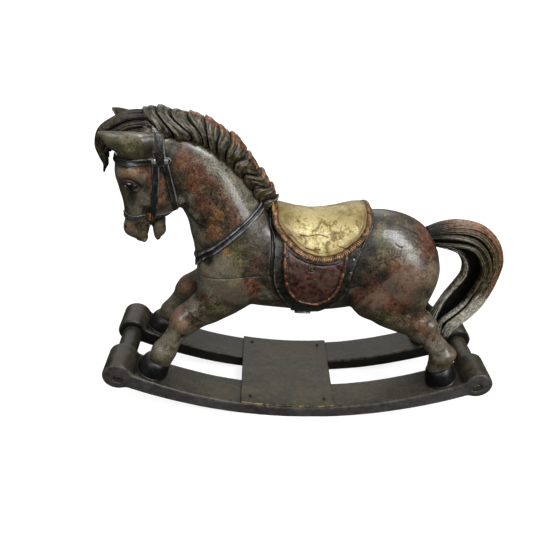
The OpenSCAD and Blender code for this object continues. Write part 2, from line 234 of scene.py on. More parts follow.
def loft(rows, caps=(0.5, 0.5), sides=48, per=6, mirror=False):
    """A closed skin over oval sections. A row is x, z of one end of a section's long axis, x, z of the
    other end, half width across, y of its centre, and how much narrower the first end is than the other."""
    s = spline([list(r) + [0.0] * (7 - len(r)) for r in rows], per)
    mid = np.stack([(s[:, 0] + s[:, 2]) / 2, s[:, 5], (s[:, 1] + s[:, 3]) / 2], 1)
    axis = np.stack([s[:, 2] - s[:, 0], np.zeros(len(s)), s[:, 3] - s[:, 1]], 1) / 2
    half = np.linalg.norm(axis, axis=1)
    axis /= half[:, None]
    run = np.gradient(mid, axis=0)
    forward = np.stack([-axis[:, 2], np.zeros(len(s)), axis[:, 0]], 1)
    forward *= np.sign((forward * run).sum(1))[:, None]
    t = np.linspace(0, 2 * math.pi, sides, endpoint=False)
    steps = np.linspace(0.0, 1.0, 7)[1:-1]
    rings = []
    for end, cap in ((0, caps[0]), (-1, caps[1])):
        size = cap * min(half[end], s[end, 4])
        dome = [(end, math.sin(a * math.pi / 2) * size * (-1 if end == 0 else 1), math.cos(a * math.pi / 2))
                for a in list(steps) + [0.999]]
        if end == 0:
            rings += dome[::-1]
            rings += [(i, 0.0, 1.0) for i in range(len(s))]
        else:
            rings += dome
    points = []
    for i, push, scale in rings:
        narrow = 1 - s[i, 6] * (1 - np.cos(t + math.pi)) / 2
        along = -np.cos(t)[:, None] * axis[i] * half[i] * scale
        across = (np.sin(t) * narrow * s[i, 4] * scale)[:, None] * np.array([0, 1, 0])
        points.append(mid[i] + along + across + forward[i] * push)
    return capped(np.array(points) * [1, -1 if mirror else 1, 1])


def add_piece(name, points, quads, material, replaces=()):
    """A mesh object in metres that rides on the part's one body."""
    mesh = bpy.data.meshes.new(name)
    points = np.asarray(points, np.float32) * MM
    quads = np.asarray(quads)
    mesh.vertices.add(len(points))
    mesh.vertices.foreach_set("co", points.ravel())
    mesh.loops.add(quads.size)
    mesh.loops.foreach_set("vertex_index", quads.ravel().astype(np.int32))
    mesh.polygons.add(len(quads))
    mesh.polygons.foreach_set("loop_start", np.arange(0, quads.size, 4, dtype=np.int32))
    mesh.update(calc_edges=True)
    mesh.validate()
    mesh.polygons.foreach_set("use_smooth", np.full(len(mesh.polygons), True))
    mesh.materials.append(material)
    piece = bpy.data.objects.new(name, mesh)
    bpy.context.scene.collection.objects.link(piece)
    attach(piece, "root")
    if replaces:
        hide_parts(*replaces)
    return piece


# ---------------------------------------------------------------- the carved horse

TORSO = [(-103, 177, -99, 140, 20, 0), (-90, 198, -82, 121, 32, 0), (-62, 210, -56, 114.5, 37, 0),
         (-30, 213, -26, 111.5, 38.5, 0), (8, 213, 8, 109.5, 38.5, 0), (42, 217, 40, 113.5, 38.5, 0),
         (72, 220, 66, 122, 38.5, 0), (99, 214, 92, 129.5, 36, 0), (118, 201, 112, 138, 29, 0),
         (129, 183, 127, 150, 17, 0)]
NECK = [(-99, 152, -38, 186, 30, 0, 0), (-109, 172, -38, 210, 30, 0, 0), (-114, 190, -52, 232, 26.5, 0, 0),
        (-117, 206, -68, 255, 22.5, 0, 0), (-124, 220, -90, 276, 19, 0, 0),
        (-133, 232, -116, 286, 17, 0, 0), (-142, 244, -138, 288, 14, 0, 0)]
HEAD = [(-158, 288, -134, 286, 12, 0), (-175, 272, -130, 270, 17.5, 0), (-181, 252, -128, 248, 19.5, 0),
        (-179, 236, -130, 230, 17.5, 0), (-176.5, 222, -137, 216, 13.5, 0), (-176, 209, -142, 206, 11.5, 0),
        (-176, 197, -152, 197, 11.5, 0), (-174.5, 188, -155, 189, 10, 0), (-168, 182.5, -157, 182, 6, 0)]
JAW = [(-152, 212, -138, 212, 9, 0), (-151, 197, -138.5, 198, 8.5, 0), (-150, 186, -141, 188, 6.5, 0),
       (-148.5, 182, -144, 184, 4, 0)]
FORE_LEG = [(-103, 162, -56, 152, 16, -21), (-104, 142, -61, 124, 15.5, -24),
            (-115, 130, -83, 108, 13, -27), (-126, 120, -99, 101, 11.5, -29),
            (-134, 108, -110, 94, 11.5, -31), (-137, 98, -118, 88, 9.3, -33),
            (-144.5, 86, -125, 78, 8.4, -35), (-152, 76, -129, 68, 9.2, -36.5),
            (-157, 63, -135, 55, 9.6, -37.5)]
HIND_LEG = [(54, 158, 124, 172, 20, -19), (57, 126, 122, 142, 19, -23), (70, 111, 122, 128, 16, -26),
            (90, 103, 129, 122, 12.8, -29), (107, 98, 132, 113, 10.8, -31), (119, 92, 140, 102, 9.4, -33),
            (127, 84, 151, 91, 8.4, -35), (134, 75, 161.5, 79, 9.6, -36.5), (135, 57, 158, 60, 9.6, -37.5)]


# Where a leg's sideways shift sets in and how far down it is complete
SHIFT_TOP, SHIFT_DEPTH = 150, 45
RIGHT_FORELEG_SHIFT = -3.0


def leg_field(grid, rows, reach, right_shift=0.0):
    """Both legs of a pair, the right one carved a little further along X below the knee."""
    both = []
    for side, shift in ((False, 0.0), (True, right_shift)):
        moved = []
        for row in rows:
            by = shift * min(max((SHIFT_TOP - row[1]) / SHIFT_DEPTH, 0), 1)
            moved.append((row[0] + by, row[1], row[2] + by) + row[3:])
        both.append(grid.level_set(*loft(moved, (0.5, 0.3), sides=36, mirror=side), reach))
    return np.minimum(*both)


EYE = (-163.8, 14.8, 242.8)
EYE_TILT = -8
UPPER_LID = [(-171.8, 15.2, 244.6), (-168.6, 17.6, 246.9), (-164, 18.9, 247.5), (-159.4, 18.9, 245.6),
             (-156, 18.0, 241.6)]
LOWER_LID = [(-171.8, 15.2, 244.6), (-168.8, 16.6, 240.6), (-164.6, 17.6, 238.5), (-160, 18.0, 238.9),
             (-156, 18.0, 241.6)]


def shape_head(sculpt):
    """Brow, eye socket and lids, cheek, crest of the face, nostrils and lips."""
    sculpt.ball((-144, 11, 231), (15, 9, 20), 5, tilt=-8)
    sculpt.rod([(-146, 9, 214), (-137, 10.5, 219), (-127, 11, 227)], (5.0, 6.0), 5)
    sculpt.rod([(-172, 14, 252), (-164, 16.8, 255), (-155, 17, 251)], (3.4, 3.0), 9)
    sculpt.ball((EYE[0], 21.4, EYE[2]), (9.0, 4.4, 5.6), 2.5, tilt=EYE_TILT, cut=True)
    sculpt.ball((EYE[0], 14.2, EYE[2]), (7.6, 4.2, 4.7), 1.0, tilt=EYE_TILT)
    sculpt.rod(spline(UPPER_LID, 4), (0.7, 1.3, 0.9), 1.2)
    sculpt.rod(spline(LOWER_LID, 4), (0.6, 0.9, 0.7), 1.2)
    sculpt.rod([(-154, 15.5, 234), (-160, 13, 221), (-165, 10.5, 208)], (2.8, 1.8), 9)
    sculpt.ball((-170, 21.6, 227), (4, 4.5, 12), 9, tilt=-6, cut=True)
    sculpt.ball((-152, 19.6, 213), (4, 4.5, 7), 8, cut=True)
    sculpt.ball((-170.5, 8, 197), (5.5, 4.2, 7), 7, tilt=-15)
    sculpt.ball((-174.8, 11.4, 198), (1.2, 2.0, 2.6), 1.6, tilt=-25, cut=True)
    sculpt.rod([(-153.5, 0, 198), (-153.8, 11, 199)], (1.5, 1.5), 1.2, cut=True)
    sculpt.rod([(-160, 0, 181), (-159, 4, 181.5)], (2.4, 2.0), 2.5)
    sculpt.ball((-143, 0, 192), (4.5, 6, 5), 3, mirrored=False)


def shape_body(sculpt):
    """Muscles, joints and tendons."""
    sculpt.ball((-76, 25, 152), (27, 14, 26), 14, tilt=40)
    sculpt.ball((-96, 12, 148), (11, 12, 18), 8)
    sculpt.rod([(-110, 0, 196), (-110, 0, 158)], (2.0, 2.0), 6, cut=True, mirrored=False)
    sculpt.ball((92, 24, 160), (33, 17, 36), 14)
    sculpt.ball((64, 30, 138), (16, 12, 20), 10, tilt=-20)
    sculpt.rod([(-119, 20, 226), (-112, 25, 200), (-100, 31, 178)], (4, 5), 8, cut=True)
    sculpt.ball((-121.5, 31, 109), (9.6, 11.4, 8.5), 8, tilt=-35)
    sculpt.ball((-142, 36.4, 71.5), (8.8, 9.0, 7.2), 8, tilt=-20)
    sculpt.ball((129, 32, 110), (8, 8.5, 9), 4)
    sculpt.ball((118, 30, 101), (10, 11, 11), 5)
    sculpt.ball((149, 36.4, 76.5), (12, 10, 6.8), 5, tilt=14)
    for outer in (24, 44):
        sculpt.rod([(-121, outer, 93), (-130, outer + 3, 80)], (1.5, 1.5), 6, cut=True)
        sculpt.rod([(134, outer, 100), (145, outer + 3, 88)], (1.5, 1.5), 6, cut=True)


def plane(grid, point, normal):
    """Signed distance in front of a plane across the middle of the horse."""
    n = np.array(normal, float) / math.hypot(*normal)
    return (grid.x - point[0]) * n[0] + (grid.z - point[1]) * n[1] + grid.y * 0


def carve_horse():
    """Torso, neck and legs in one carved block, with both pairs of legs on their own as well."""
    grid = Grid((-190, -60, 44), (170, 60, 296), BODY_STEP)
    reach = 15.0
    torso = grid.level_set(*loft(TORSO, (0.1, 0.15), sides=64), reach)
    neck = grid.level_set(*loft(NECK, (0.5, 0.6), sides=56), reach)
    fore = leg_field(grid, FORE_LEG, reach, RIGHT_FORELEG_SHIFT)
    hind = leg_field(grid, HIND_LEG, reach)
    body = blend(blend(torso, neck, 14), blend(fore, hind, 4), 11)
    sculpt = Sculpt(grid, body)
    shape_body(sculpt)
    return grid, sculpt.field, fore, hind


def carve_head():
    """The head, on a finer grid than the body, with the neck behind it."""
    grid = Grid((-190, -30, 172), (-92, 30, 296), HEAD_STEP)
    reach = 10.0
    skull = grid.level_set(*loft(HEAD, (0.8, 0.5), sides=56), reach)
    jaw = grid.level_set(*loft(JAW, (0.5, 0.8), sides=36), reach)
    neck = grid.level_set(*loft(NECK, (0.5, 0.6), sides=56), reach)
    sculpt = Sculpt(grid, blend(skull, jaw, 3))
    shape_head(sculpt)
    sculpt.field = blend(sculpt.field, neck, 9)
    return grid, sculpt.field


# ---------------------------------------------------------------- hair

class Mass:
    """A mass of carved hair: oval sections along a curve. A row is x, z of a section's outer end,
    x, z of its inner end, half width across, and y of its centre."""

    def __init__(self, rows):
        self.per = 24
        self.rows = spline([list(r) + [0.0] * (6 - len(r)) for r in rows], self.per)

    def at(self, u, angle):
        """Points and outward normals at distances u (0 to 1) and angles round the section, 0 at the
        outer end and negative on the left side."""
        at = np.clip(np.asarray(u, float), 0, 1) * (len(self.rows) - 1)
        row = np.stack([np.interp(at, np.arange(len(self.rows)), c) for c in self.rows.T], 1)
        mid = np.stack([(row[:, 0] + row[:, 2]) / 2, row[:, 5], (row[:, 1] + row[:, 3]) / 2], 1)
        axis = np.stack([row[:, 0] - row[:, 2], np.zeros(len(row)), row[:, 1] - row[:, 3]], 1) / 2
        half = np.linalg.norm(axis, axis=1)[:, None]
        wide = row[:, 4:5]
        across = np.array([[0, 1, 0]])
        c, s = np.cos(angle)[:, None], np.sin(angle)[:, None]
        normal = axis / half * c / half + across * s / wide
        return mid + axis * c + across * wide * s, normal / np.linalg.norm(normal, axis=1)[:, None]

    def core(self, shrink, thin=1.0):
        """A solid core that lies under the locks."""
        rows = []
        for r in self.rows[::8]:
            axis = np.array([r[0] - r[2], r[1] - r[3]])
            pull = axis / np.linalg.norm(axis) * shrink
            rows.append((r[0] - pull[0], r[1] - pull[1], r[2] + pull[0], r[3] + pull[1],
                         max(1.0, (r[4] - shrink) * thin), r[5]))
        return loft(rows, (0.6, 0.4), sides=32, per=2)


class Bundle:
    """Meshes gathered into one piece, with numbers kept at each point for its material."""

    def __init__(self):
        self.points, self.quads = [], []
        self.values = {"height": [], "tint": [], "silver": []}
        self.count = 0

    def add(self, points, quads, height=0.0, tint=0.5, silver=0.0):
        """Takes in a mesh, with one number or one for each of its points for the material."""
        self.points.append(np.asarray(points, float))
        self.quads.append(np.asarray(quads) + self.count)
        for key, value in zip(self.values, (height, tint, silver)):
            self.values[key].append(np.zeros(len(points)) + value)
        self.count += len(points)

    def piece(self, name, material, slot, replaces=()):
        piece = add_piece(name, np.vstack(self.points), np.vstack(self.quads), material, replaces)
        return keep(piece, **{key: np.concatenate(parts) for key, parts in self.values.items()})


COMB_DEPTH = 0.30
BLUNT_END = 0.25


def lock(bundle, path, normals, width, height, tint, ridges=3, phase=0.0, twist=0.6, silver=0.0, worn=1.0):
    """One carved lock of hair: a tapering strand with combed ridges along its outer side."""
    path = np.asarray(path, float)
    n = len(path)
    along = np.linspace(0, 1, n)
    run = np.gradient(path, axis=0)
    run /= np.linalg.norm(run, axis=1)[:, None]
    up = normals - run * (normals * run).sum(1)[:, None]
    up /= np.linalg.norm(up, axis=1)[:, None]
    side = np.cross(run, up)
    over = np.linspace(0, math.pi, 27)
    under = np.linspace(math.pi, 2 * math.pi, 7)[1:-1]
    angle = np.concatenate([over, under])
    c, s = np.cos(angle), np.sin(angle)
    top = np.clip(s, 0, 1)
    w = np.broadcast_to(width, n).astype(float)
    h = np.broadcast_to(height, n).astype(float)
    comb = 0.5 + 0.5 * np.cos(math.pi * ridges * c[None, :] + phase + twist * math.pi * along[:, None])
    depth = COMB_DEPTH * top[None, :] ** 0.5 * (1 - comb ** 1.6)
    points = (path[:, None, :] + side[:, None, :] * (c[None, :] * (1 - 0.25 * depth) * w[:, None])[..., None]
              + up[:, None, :] * (s[None, :] * (1 - depth) * h[:, None])[..., None])
    near_end = np.minimum(1, 6 * np.minimum(along, 1.001 - along))
    value = top[None, :] ** 0.7 * (0.35 + 0.65 * comb) * near_end[:, None]
    points, quads = capped(points, (-run[0] * BLUNT_END * w[0], run[-1] * BLUNT_END * w[-1]))
    # worn scales the height kept for the hair paint, which paints shade where heights are low, so below 1 a
    # lock comes out darker.
    values = worn * np.append(value, (0.2, 0.2))
    bundle.add(points, quads, values, tint,
               np.append(np.repeat(np.broadcast_to(silver, n), len(angle)), (0.0, 0.0)))


def taper(n, start, full, end, at=0.45):
    """Widths along a lock: from start to full part-way along and on to end."""
    t = np.linspace(0, 1, n)
    rise = start + (full - start) * np.sin(np.clip(t / at, 0, 1) * math.pi / 2)
    fall = end + (full - end) * np.cos(np.clip((t - at) / (1 - at), 0, 1) * math.pi / 2) ** 0.8
    return np.where(t < at, rise, fall)


MANE = [(-160, 302, -146, 280, 9), (-142, 309, -136, 278, 12), (-125, 307, -119, 275, 13),
        (-108, 305, -102, 274, 13), (-92, 299, -90, 266, 14), (-77, 289, -79, 255, 14),
        (-62, 275, -69, 245, 13), (-50, 259, -59, 231, 12), (-39, 243, -50, 220, 10),
        (-31, 228, -42, 213, 7)]
MANE_CREST = 2.35
# Grooves between the mane's locks: where each starts at the crest of the neck and ends at the outline,
# as distances along the mane, then how far the lock after it stands out there, and its tint.
MANE_GROOVES = [(-0.04, -0.06, 0.0, 0.1), (0.09, 0.04, 0.8, 0.3), (0.18, 0.12, 1.4, 0.1),
                (0.27, 0.21, 0.6, 0.4), (0.345, 0.30, 0.4, 0.6), (0.405, 0.385, 2.2, 1.0),
                (0.475, 0.465, 0.4, 0.7), (0.54, 0.54, 3.0, 1.0), (0.61, 0.655, 0.8, 0.9),
                (0.70, 0.77, 1.4, 0.9), (0.785, 0.865, 2.8, 0.8), (0.89, 0.95, 3.2, 0.5),
                (1.04, 1.06, 0.0, 0.3)]
GROOVE_DEPTH, COMB_STEP, FINE_STEP, CREST_WAVE = 4.8, 0.9, 0.28, 0.9


def mane(material):
    """One carved mass whose locks sweep from the crest of the neck to the outline between deep grooves."""
    mass, bundle = Mass(MANE), Bundle()
    rings, sides = ((440, 216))
    u = np.repeat(np.linspace(0, 1, rings), sides)
    angle = np.tile(np.linspace(-math.pi, math.pi, sides, endpoint=False), rings)
    t = np.clip(1 - np.abs(angle) / MANE_CREST, 0, 1)
    table = np.array(MANE_GROOVES)
    sway = np.interp(table[:, 0], [0.3, 0.5], [0.030, -0.022])
    sway *= 1 + 0.5 * np.sin(5.1 * np.arange(len(table)))
    lines = table[:, 0] + (table[:, 1] - table[:, 0]) * t[:, None] + sway * np.sin(t * 2 * math.pi)[:, None]
    lock_no = np.clip((lines < u[:, None]).sum(1) - 1, 0, len(table) - 2)
    each = np.arange(len(u))
    start, end = lines[each, lock_no], lines[each, lock_no + 1]
    v = np.clip((u - start) / (end - start), 0, 1)
    comb = 0.5 - 0.5 * np.cos(2 * math.pi * (2.2 * v + 0.45 * np.sin(4 * t + 2.3 * lock_no)))
    fine = 0.5 - 0.5 * np.cos(2 * math.pi * (6.3 * v + 0.9 * np.sin(3 * t + 1.7 * lock_no)))
    hump = ease(v / 0.24) * (1 - 0.62 * v ** 1.6)
    wave = 0.5 + 0.5 * np.sin(lock_no * 2.4 + 5 * t)
    relief = GROOVE_DEPTH * (1 - 0.5 * ease((t - 0.6) / 0.4)) * (hump - 1) + CREST_WAVE * wave
    relief -= (COMB_STEP * (1 - comb) + FINE_STEP * (1 - fine)) * hump
    relief += table[lock_no, 2] * ease((t - 0.55) / 0.45) * hump - 3.5 * (1 - ease(t / 0.10))
    path, normal = mass.at(u, angle)
    middle = (mass.at(u, 0 * angle)[0] + mass.at(u, 0 * angle + math.pi)[0]) / 2
    near_end = np.sqrt(1 - np.clip(np.maximum((0.03 - u) / 0.03, (u - 0.965) / 0.035), 0, 0.995) ** 2)
    points = middle + (path + normal * (relief + 0.6)[:, None] - middle) * near_end[:, None]
    points, quads = capped(points.reshape(rings, sides, 3))
    height = np.append(hump * (0.40 + 0.40 * comb + 0.20 * fine) * ease(t / 0.15), (0.1, 0.1))
    tint = np.append((0.15 + 0.95 * ease((t - 0.62) / 0.30)) * table[lock_no, 3], (0, 0))
    bundle.add(points, quads, height, tint)
    return bundle.piece("mane_carved", material, "hair_paint", ("mane",))


FORELOCK = [(-148, 305, -146, 286, 9, 0), (-164, 303, -161, 283, 10, 0), (-178, 296, -170, 276, 9.5, 0),
            (-189, 288, -178, 271, 8, -1), (-193.5, 277, -183, 265, 6.5, -2),
            (-191.5, 266, -183, 259, 5, -3), (-189.5, 257.5, -184, 254, 3.8, -3),
            (-191.5, 249.5, -187.5, 248.5, 2, -3)]


def forelock(material):
    """Locks fanned round the forehead, falling to one point."""
    rng = np.random.default_rng(9)
    mass, bundle = Mass(FORELOCK), Bundle()
    # With a height of 0.05 the core comes out near black in the hair paint: painted shade under the locks.
    bundle.add(*mass.core(2.4), height=0.05)
    n = 40
    t = np.linspace(0, 1, n)
    for angle, end, wide in ((0.0, 1.0, 3.6), (-0.75, 0.97, 3.6), (0.75, 0.93, 3.6), (-1.45, 0.86, 3.4),
                             (1.45, 0.90, 3.4), (-2.1, 0.62, 3.0), (2.1, 0.7, 3.0), (-2.7, 0.5, 2.6),
                             (2.7, 0.55, 2.6)):
        path, normal = mass.at(t * end, angle + 0.10 * np.sin(t * 5 + angle))
        path = path + normal * (-1.2 + 0.5 * np.sin(t * math.pi))[:, None]
        lock(bundle, path, normal, taper(n, 2.6, wide, 0.7, 0.3), taper(n, 2.2, 2.8, 0.6, 0.3),
             rng.uniform(0, 0.3), ridges=3, phase=rng.uniform(0, 6), twist=rng.uniform(-0.6, 0.6), worn=0.72)
    return bundle.piece("forelock_carved", material, "hair_paint", ("forelock",))


TAIL = [(116, 205, 116, 188, 8), (131, 211, 129, 185, 10), (147, 213, 142, 182, 11),
        (165, 210, 153, 177, 12), (180, 201, 160, 168, 13), (191, 189, 162, 159, 13),
        (198, 174, 161, 151, 12.5), (199, 158, 156, 140, 12), (197, 140, 150, 128, 11.5),
        (191, 120, 145, 115, 11.5), (181, 104, 141, 104, 11), (173, 95, 141, 93, 9.5),
        (168, 87, 145, 84, 8), (165.5, 78, 152, 75, 6), (166.5, 69, 160, 68, 3)]
# Strands of the tail: angles at the dock, the bend and the tip, where it ends, width, tint, silver.
TAIL_LOCKS = [(0.00, 0.00, 0.00, 1.0, 4.3, 0.80, 0.0), (0.60, 0.46, 0.50, 1.0, 4.1, 0.95, 0.0),
              (1.05, 0.90, 1.05, 0.99, 3.9, 0.45, 0.15), (1.55, 1.30, 1.55, 0.98, 3.7, 0.15, 0.25),
              (2.40, 1.70, 2.05, 0.97, 3.0, 0.05, 0.0), (2.75, 2.86, 2.60, 0.97, 3.0, 0.05, 0.55),
              (3.14, 3.14, 3.14, 1.0, 3.0, 0.05, 0.3)]


def tail(material):
    """Strands swept back from the dock and down round a dark hollow to a hooked, greying tip."""
    rng = np.random.default_rng(12)
    mass, bundle = Mass(TAIL), Bundle()
    # With a height of 0 the core comes out near black in the hair paint: the dark hollow is painted shade.
    bundle.add(*mass.core(4.6, 0.2), height=0.0, tint=0.0)
    n = 90
    t = np.linspace(0, 1, n)
    for side in (-1, 1):
        for dock, bend, tip, end, wide, tint, grey in TAIL_LOCKS:
            if side == 1 and dock in (0.0, 3.14):
                continue
            u = end * t
            turn = ([0, 0.25, 0.60, 0.76, 1], [dock, bend, bend, tip, tip])
            angle = side * (np.interp(u, *turn) + 0.06 * np.sin(u * 9 + dock * 3))
            path, normal = mass.at(u, angle)
            path = path + normal * (-1.9 + 0.6 * np.sin(u * 9 + dock))[:, None]
            width = wide * np.interp(u, [0, 0.12, 0.45, 0.8, 0.93, 1], [0.62, 0.8, 1.05, 0.95, 0.75, 0.3])
            silver = grey + 0.8 * ease((u - 0.52) / 0.16)
            lock(bundle, path, normal, width, np.minimum(width, 4.2), tint, ridges=3,
                 phase=rng.uniform(0, 6), twist=rng.uniform(-0.5, 0.5), silver=silver)
            for _ in range(2):
                shift = rng.uniform(-0.14, 0.14)
                a, b = sorted((rng.uniform(0.0, 0.5), rng.uniform(0.6, 1.0)))
                v = a + (b - a) * t
                line, out = mass.at(v, side * (np.interp(v, *turn) + shift * np.sin(v * 6)))
                line = line + out * (0.6 + 0.5 * np.sin(t * math.pi))[:, None]
                wisp = taper(n, 0.3, 1.1, 0.3)
                lock(bundle, line, out, wisp, wisp, min(1, max(0, tint + rng.uniform(-0.3, 0.3))), ridges=2,
                     silver=grey + 0.9 * ease((v - 0.50) / 0.16))
    return bundle.piece("tail_carved", material, "hair_paint", ("tail",))


# ---------------------------------------------------------------- layers over a carved surface

def stretched(field, axis, at, eased=False):
    """A field read along one axis at places between its points."""
    i = at.astype(int)
    share = ease(at - i) if eased else at - i
    share = share.astype(np.float32).reshape([-1 if k == axis else 1 for k in range(3)])
    low = np.take(field, i, axis=axis)
    return low + (np.take(field, i + 1, axis=axis) - low) * share


def resample(grid, field, low, high, step):
    """A block of a field on a grid of its own."""
    part = Grid(low, high, step)
    for axis, line in enumerate((part.x.ravel(), part.y.ravel(), part.z.ravel())):
        at = np.clip(line / grid.step - grid.first[axis], 0, grid.shape[axis] - 1.001)
        field = stretched(field, axis, at)
    return part, field


def rough(grid, spacing, seed):
    """Smooth random values of about -1 to 1 over a grid, with lumps of a given spacing."""
    rng = np.random.default_rng(seed)
    counts = [int(n * grid.step / spacing) + 3 for n in grid.shape]
    out = rng.uniform(-1, 1, counts).astype(np.float32)
    for axis, n in enumerate(grid.shape):
        out = stretched(out, axis, np.arange(n) * grid.step / spacing, eased=True)
    return out


class Line:
    """A smooth line in the horse's side view, x and z. As a closed outline it gives the distance
    inside it; as a strip of a half width, the distance in from its edges."""

    def __init__(self, points, half=None, per=6):
        self.half = half
        self.p = spline(points, per) if per > 1 else np.array(points, float)
        if half is None:
            self.p = np.vstack([self.p, self.p[:1]])
        self.low, self.high = self.p.min(0) - (half or 0) - 2, self.p.max(0) + (half or 0) + 2

    def measure(self, x, z):
        """The distance inside at points of the side view, and how far along the line they lie."""
        best = np.full(np.broadcast(x, z).shape, 1e9)
        along = np.zeros_like(best)
        inside = np.zeros(best.shape, bool)
        start = 0.0
        for a, b in zip(self.p, self.p[1:]):
            d = b - a
            length = math.hypot(*d) + 1e-9
            t = np.clip(((x - a[0]) * d[0] + (z - a[1]) * d[1]) / length ** 2, 0, 1)
            far = np.hypot(x - a[0] - t * d[0], z - a[1] - t * d[1])
            near = far < best
            best = np.where(near, far, best)
            along = np.where(near, start + t * length, along)
            if self.half is None and a[1] != b[1]:
                inside ^= ((a[1] > z) != (b[1] > z)) & (x < d[0] * (z - a[1]) / d[1] + a[0])
            start += length
        if self.half is not None:
            return self.half - best, along
        return np.where(inside, best, -best), along


class Skin:
    """A surface that leather lies on."""

    def __init__(self, grid, field):
        self.grid, self.field = grid, field

    def part(self, line, step, y=(-60, 60), z=(40, 300)):
        """A finer copy of the field round a line."""
        low = (line.low[0], y[0], max(line.low[1], z[0]))
        high = (line.high[0], y[1], min(line.high[1], z[1]))
        return resample(self.grid, self.field, low, high, step)


def keep(piece, **values):
    """Numbers kept at each point of a piece for its material."""
    for key, value in values.items():
        layer = piece.data.attributes.new(key, "FLOAT", "POINT")
        layer.data.foreach_set("value", np.asarray(value, np.float32).ravel())
    return piece


def perch(skin, start, direction, rise):
    """A point a height above the skin where a line from start first meets it, and the way out there."""
    line = np.array(start, float) + np.arange(0, 60, 0.2)[:, None] * np.array(direction, float)
    spot = line[np.argmax(skin.grid.sample(skin.field, line) < 0)]
    steps = np.eye(3)
    out = skin.grid.sample(skin.field, spot + steps) - skin.grid.sample(skin.field, spot - steps)
    out /= np.linalg.norm(out)
    return spot + out * rise, out


def curvature(grid, field, points, reach):
    """How far the surface bulges (up to about 1) or hollows (to about -1) at points on it."""
    total = 0
    for axis in range(3):
        for way in (-1, 1):
            step = np.zeros(3)
            step[axis] = way * reach
            total = total + grid.sample(field, points + step)
    return np.clip((total / 6 - grid.sample(field, points)) * 12 / reach, -1, 1)


def layer(name, skin, line, height, material, slot, replaces=(), y=(-60, 60), z=(40, 300), below=-0.7,
          wear=0.0, seed=1, corner=0.8, inset=0.0):
    """A layer of leather on a skin, inset from a line and rounded at its corner: height gives its
    thickness from x, z and the distance in from its edge."""
    grid, field = skin.part(line, TACK_STEP, y, z)
    x, zz = grid.x[:, :, 0], grid.z[:, 0, :]
    d = line.measure(x, zz)[0] - inset
    if wear:
        field = field + wear * rough(grid, 5.0, seed)
    side = (corner - d)[:, None, :]
    top = field - height(x, zz, d)[:, None, :] + corner
    out = np.hypot(np.maximum(side, 0), np.maximum(top, 0)) + np.minimum(np.maximum(side, top), 0) - corner
    out = np.maximum(out, below - field)
    return finish_layer(name, grid, out.astype(np.float32), field, line, material, replaces)


def finish_layer(name, grid, out, field, line, material, replaces):
    """Adds a layer as a piece and keeps where each point lies along and in from its line."""
    points, quads = grid.mesh(out)
    piece = add_piece(name, points, quads, material, replaces)
    d, along = line.measure(points[:, 0], points[:, 2])
    return keep(piece, edge=d, along=along, height=grid.sample(field, points))


def bump(d, centre, width):
    """1 at the centre, falling to 0 about two widths away."""
    return np.exp(-((d - centre) / width) ** 2)


# ---------------------------------------------------------------- saddle

CLOTH_EDGE = [(-40, 262), (-40, 240), (-40, 214), (-36.5, 204), (-34.5, 192), (-35, 179), (-34, 163),
              (-30, 150), (-23, 137), (-15, 124), (-13, 110), (-12, 90), (12, 90), (14, 111), (22, 126),
              (32, 139), (37, 149), (38.5, 162), (40.5, 173), (43, 183), (47.5, 195), (52.5, 206),
              (58.5, 217), (60, 240), (60, 262)]
SEAT_EDGE = [(-38, 262), (-38, 240), (-37.5, 217), (-32.5, 208.5), (-25, 199.5), (-14.5, 190.5),
             (-3, 185.3), (8, 183.2), (18, 184.2), (28, 187.8), (36.5, 193.4), (44.8, 201), (51.2, 210),
             (55.3, 219), (56.8, 228), (56.8, 240), (56.8, 262)]
FLAP_EDGE = [(-26, 212), (-26, 194), (-25, 173), (-22, 158), (-16, 147), (-7, 138.5), (5, 135.5),
             (14, 137.5), (23, 145), (28.5, 156), (31, 167), (33, 179), (34.5, 192), (34.5, 212)]
FLAP_BUTTON = (0.5, 178.0)
RIVETS = ((40.0, 186.0), (38.5, 173.5))
SEAT_TOP_X = (-38, -30, -15, -1, 16, 26, 38, 46, 52, 58)
SEAT_TOP_RISE = (9.5, 10.5, 6.8, 6.0, 6.8, 7.8, 9.6, 10.0, 8.6, 4.5)
SEAT_SIDE_RISE = 4.6
ROPE_PITCH = 4.4
CLOTH_RISE = 2.0
FLAP_RISE = 4.6


SEAT_CRACKS = [[(-31, 207), (-27, 205.5), (-22, 206.5), (-18, 205.5)],
               [(-11, 206), (-3, 205), (5, 206.5), (15, 205)],
               [(-6, 196), (1, 194.5), (8, 195)], [(24, 199), (31, 197.5), (37, 198.5)]]
SEAT_CRACK_HALF = 0.35
# The rope lies inside the seat's outline, low on its flank, and crosses the back within this half width
ROPE_INSET, ROPE_LOW, ROPE_RADIUS, BACK_HALF = 2.8, 1.4, 2.3, 38


def vertices(piece):
    """A piece's points, in millimetres."""
    points = np.empty(len(piece.data.vertices) * 3, np.float32)
    piece.data.vertices.foreach_get("co", points)
    return points.reshape(-1, 3) / MM


def seat_rise(x, z):
    """Height of the seat above the horse's back: a dip between pommel and cantle, thinner at the sides."""
    top = np.interp(x, SEAT_TOP_X, SEAT_TOP_RISE)
    return SEAT_SIDE_RISE + (top - SEAT_SIDE_RISE) * ease((z - 196) / 20)


def saddle_cloth(skin, material):
    """The cloth and its girth in one, with piping that fades out towards the belly."""
    def cloth_height(x, z, d):
        piping = 0.9 * np.clip((z - 118) / 12, 0.1, 1)
        return CLOTH_RISE + piping * bump(d, 1.5, 0.9)

    layer("saddle_cloth_hide", skin, Line(CLOTH_EDGE, per=5), cloth_height, material, "dark_leather",
          ("saddle_cloth",), z=(98, 240), wear=0.2, corner=1.2)


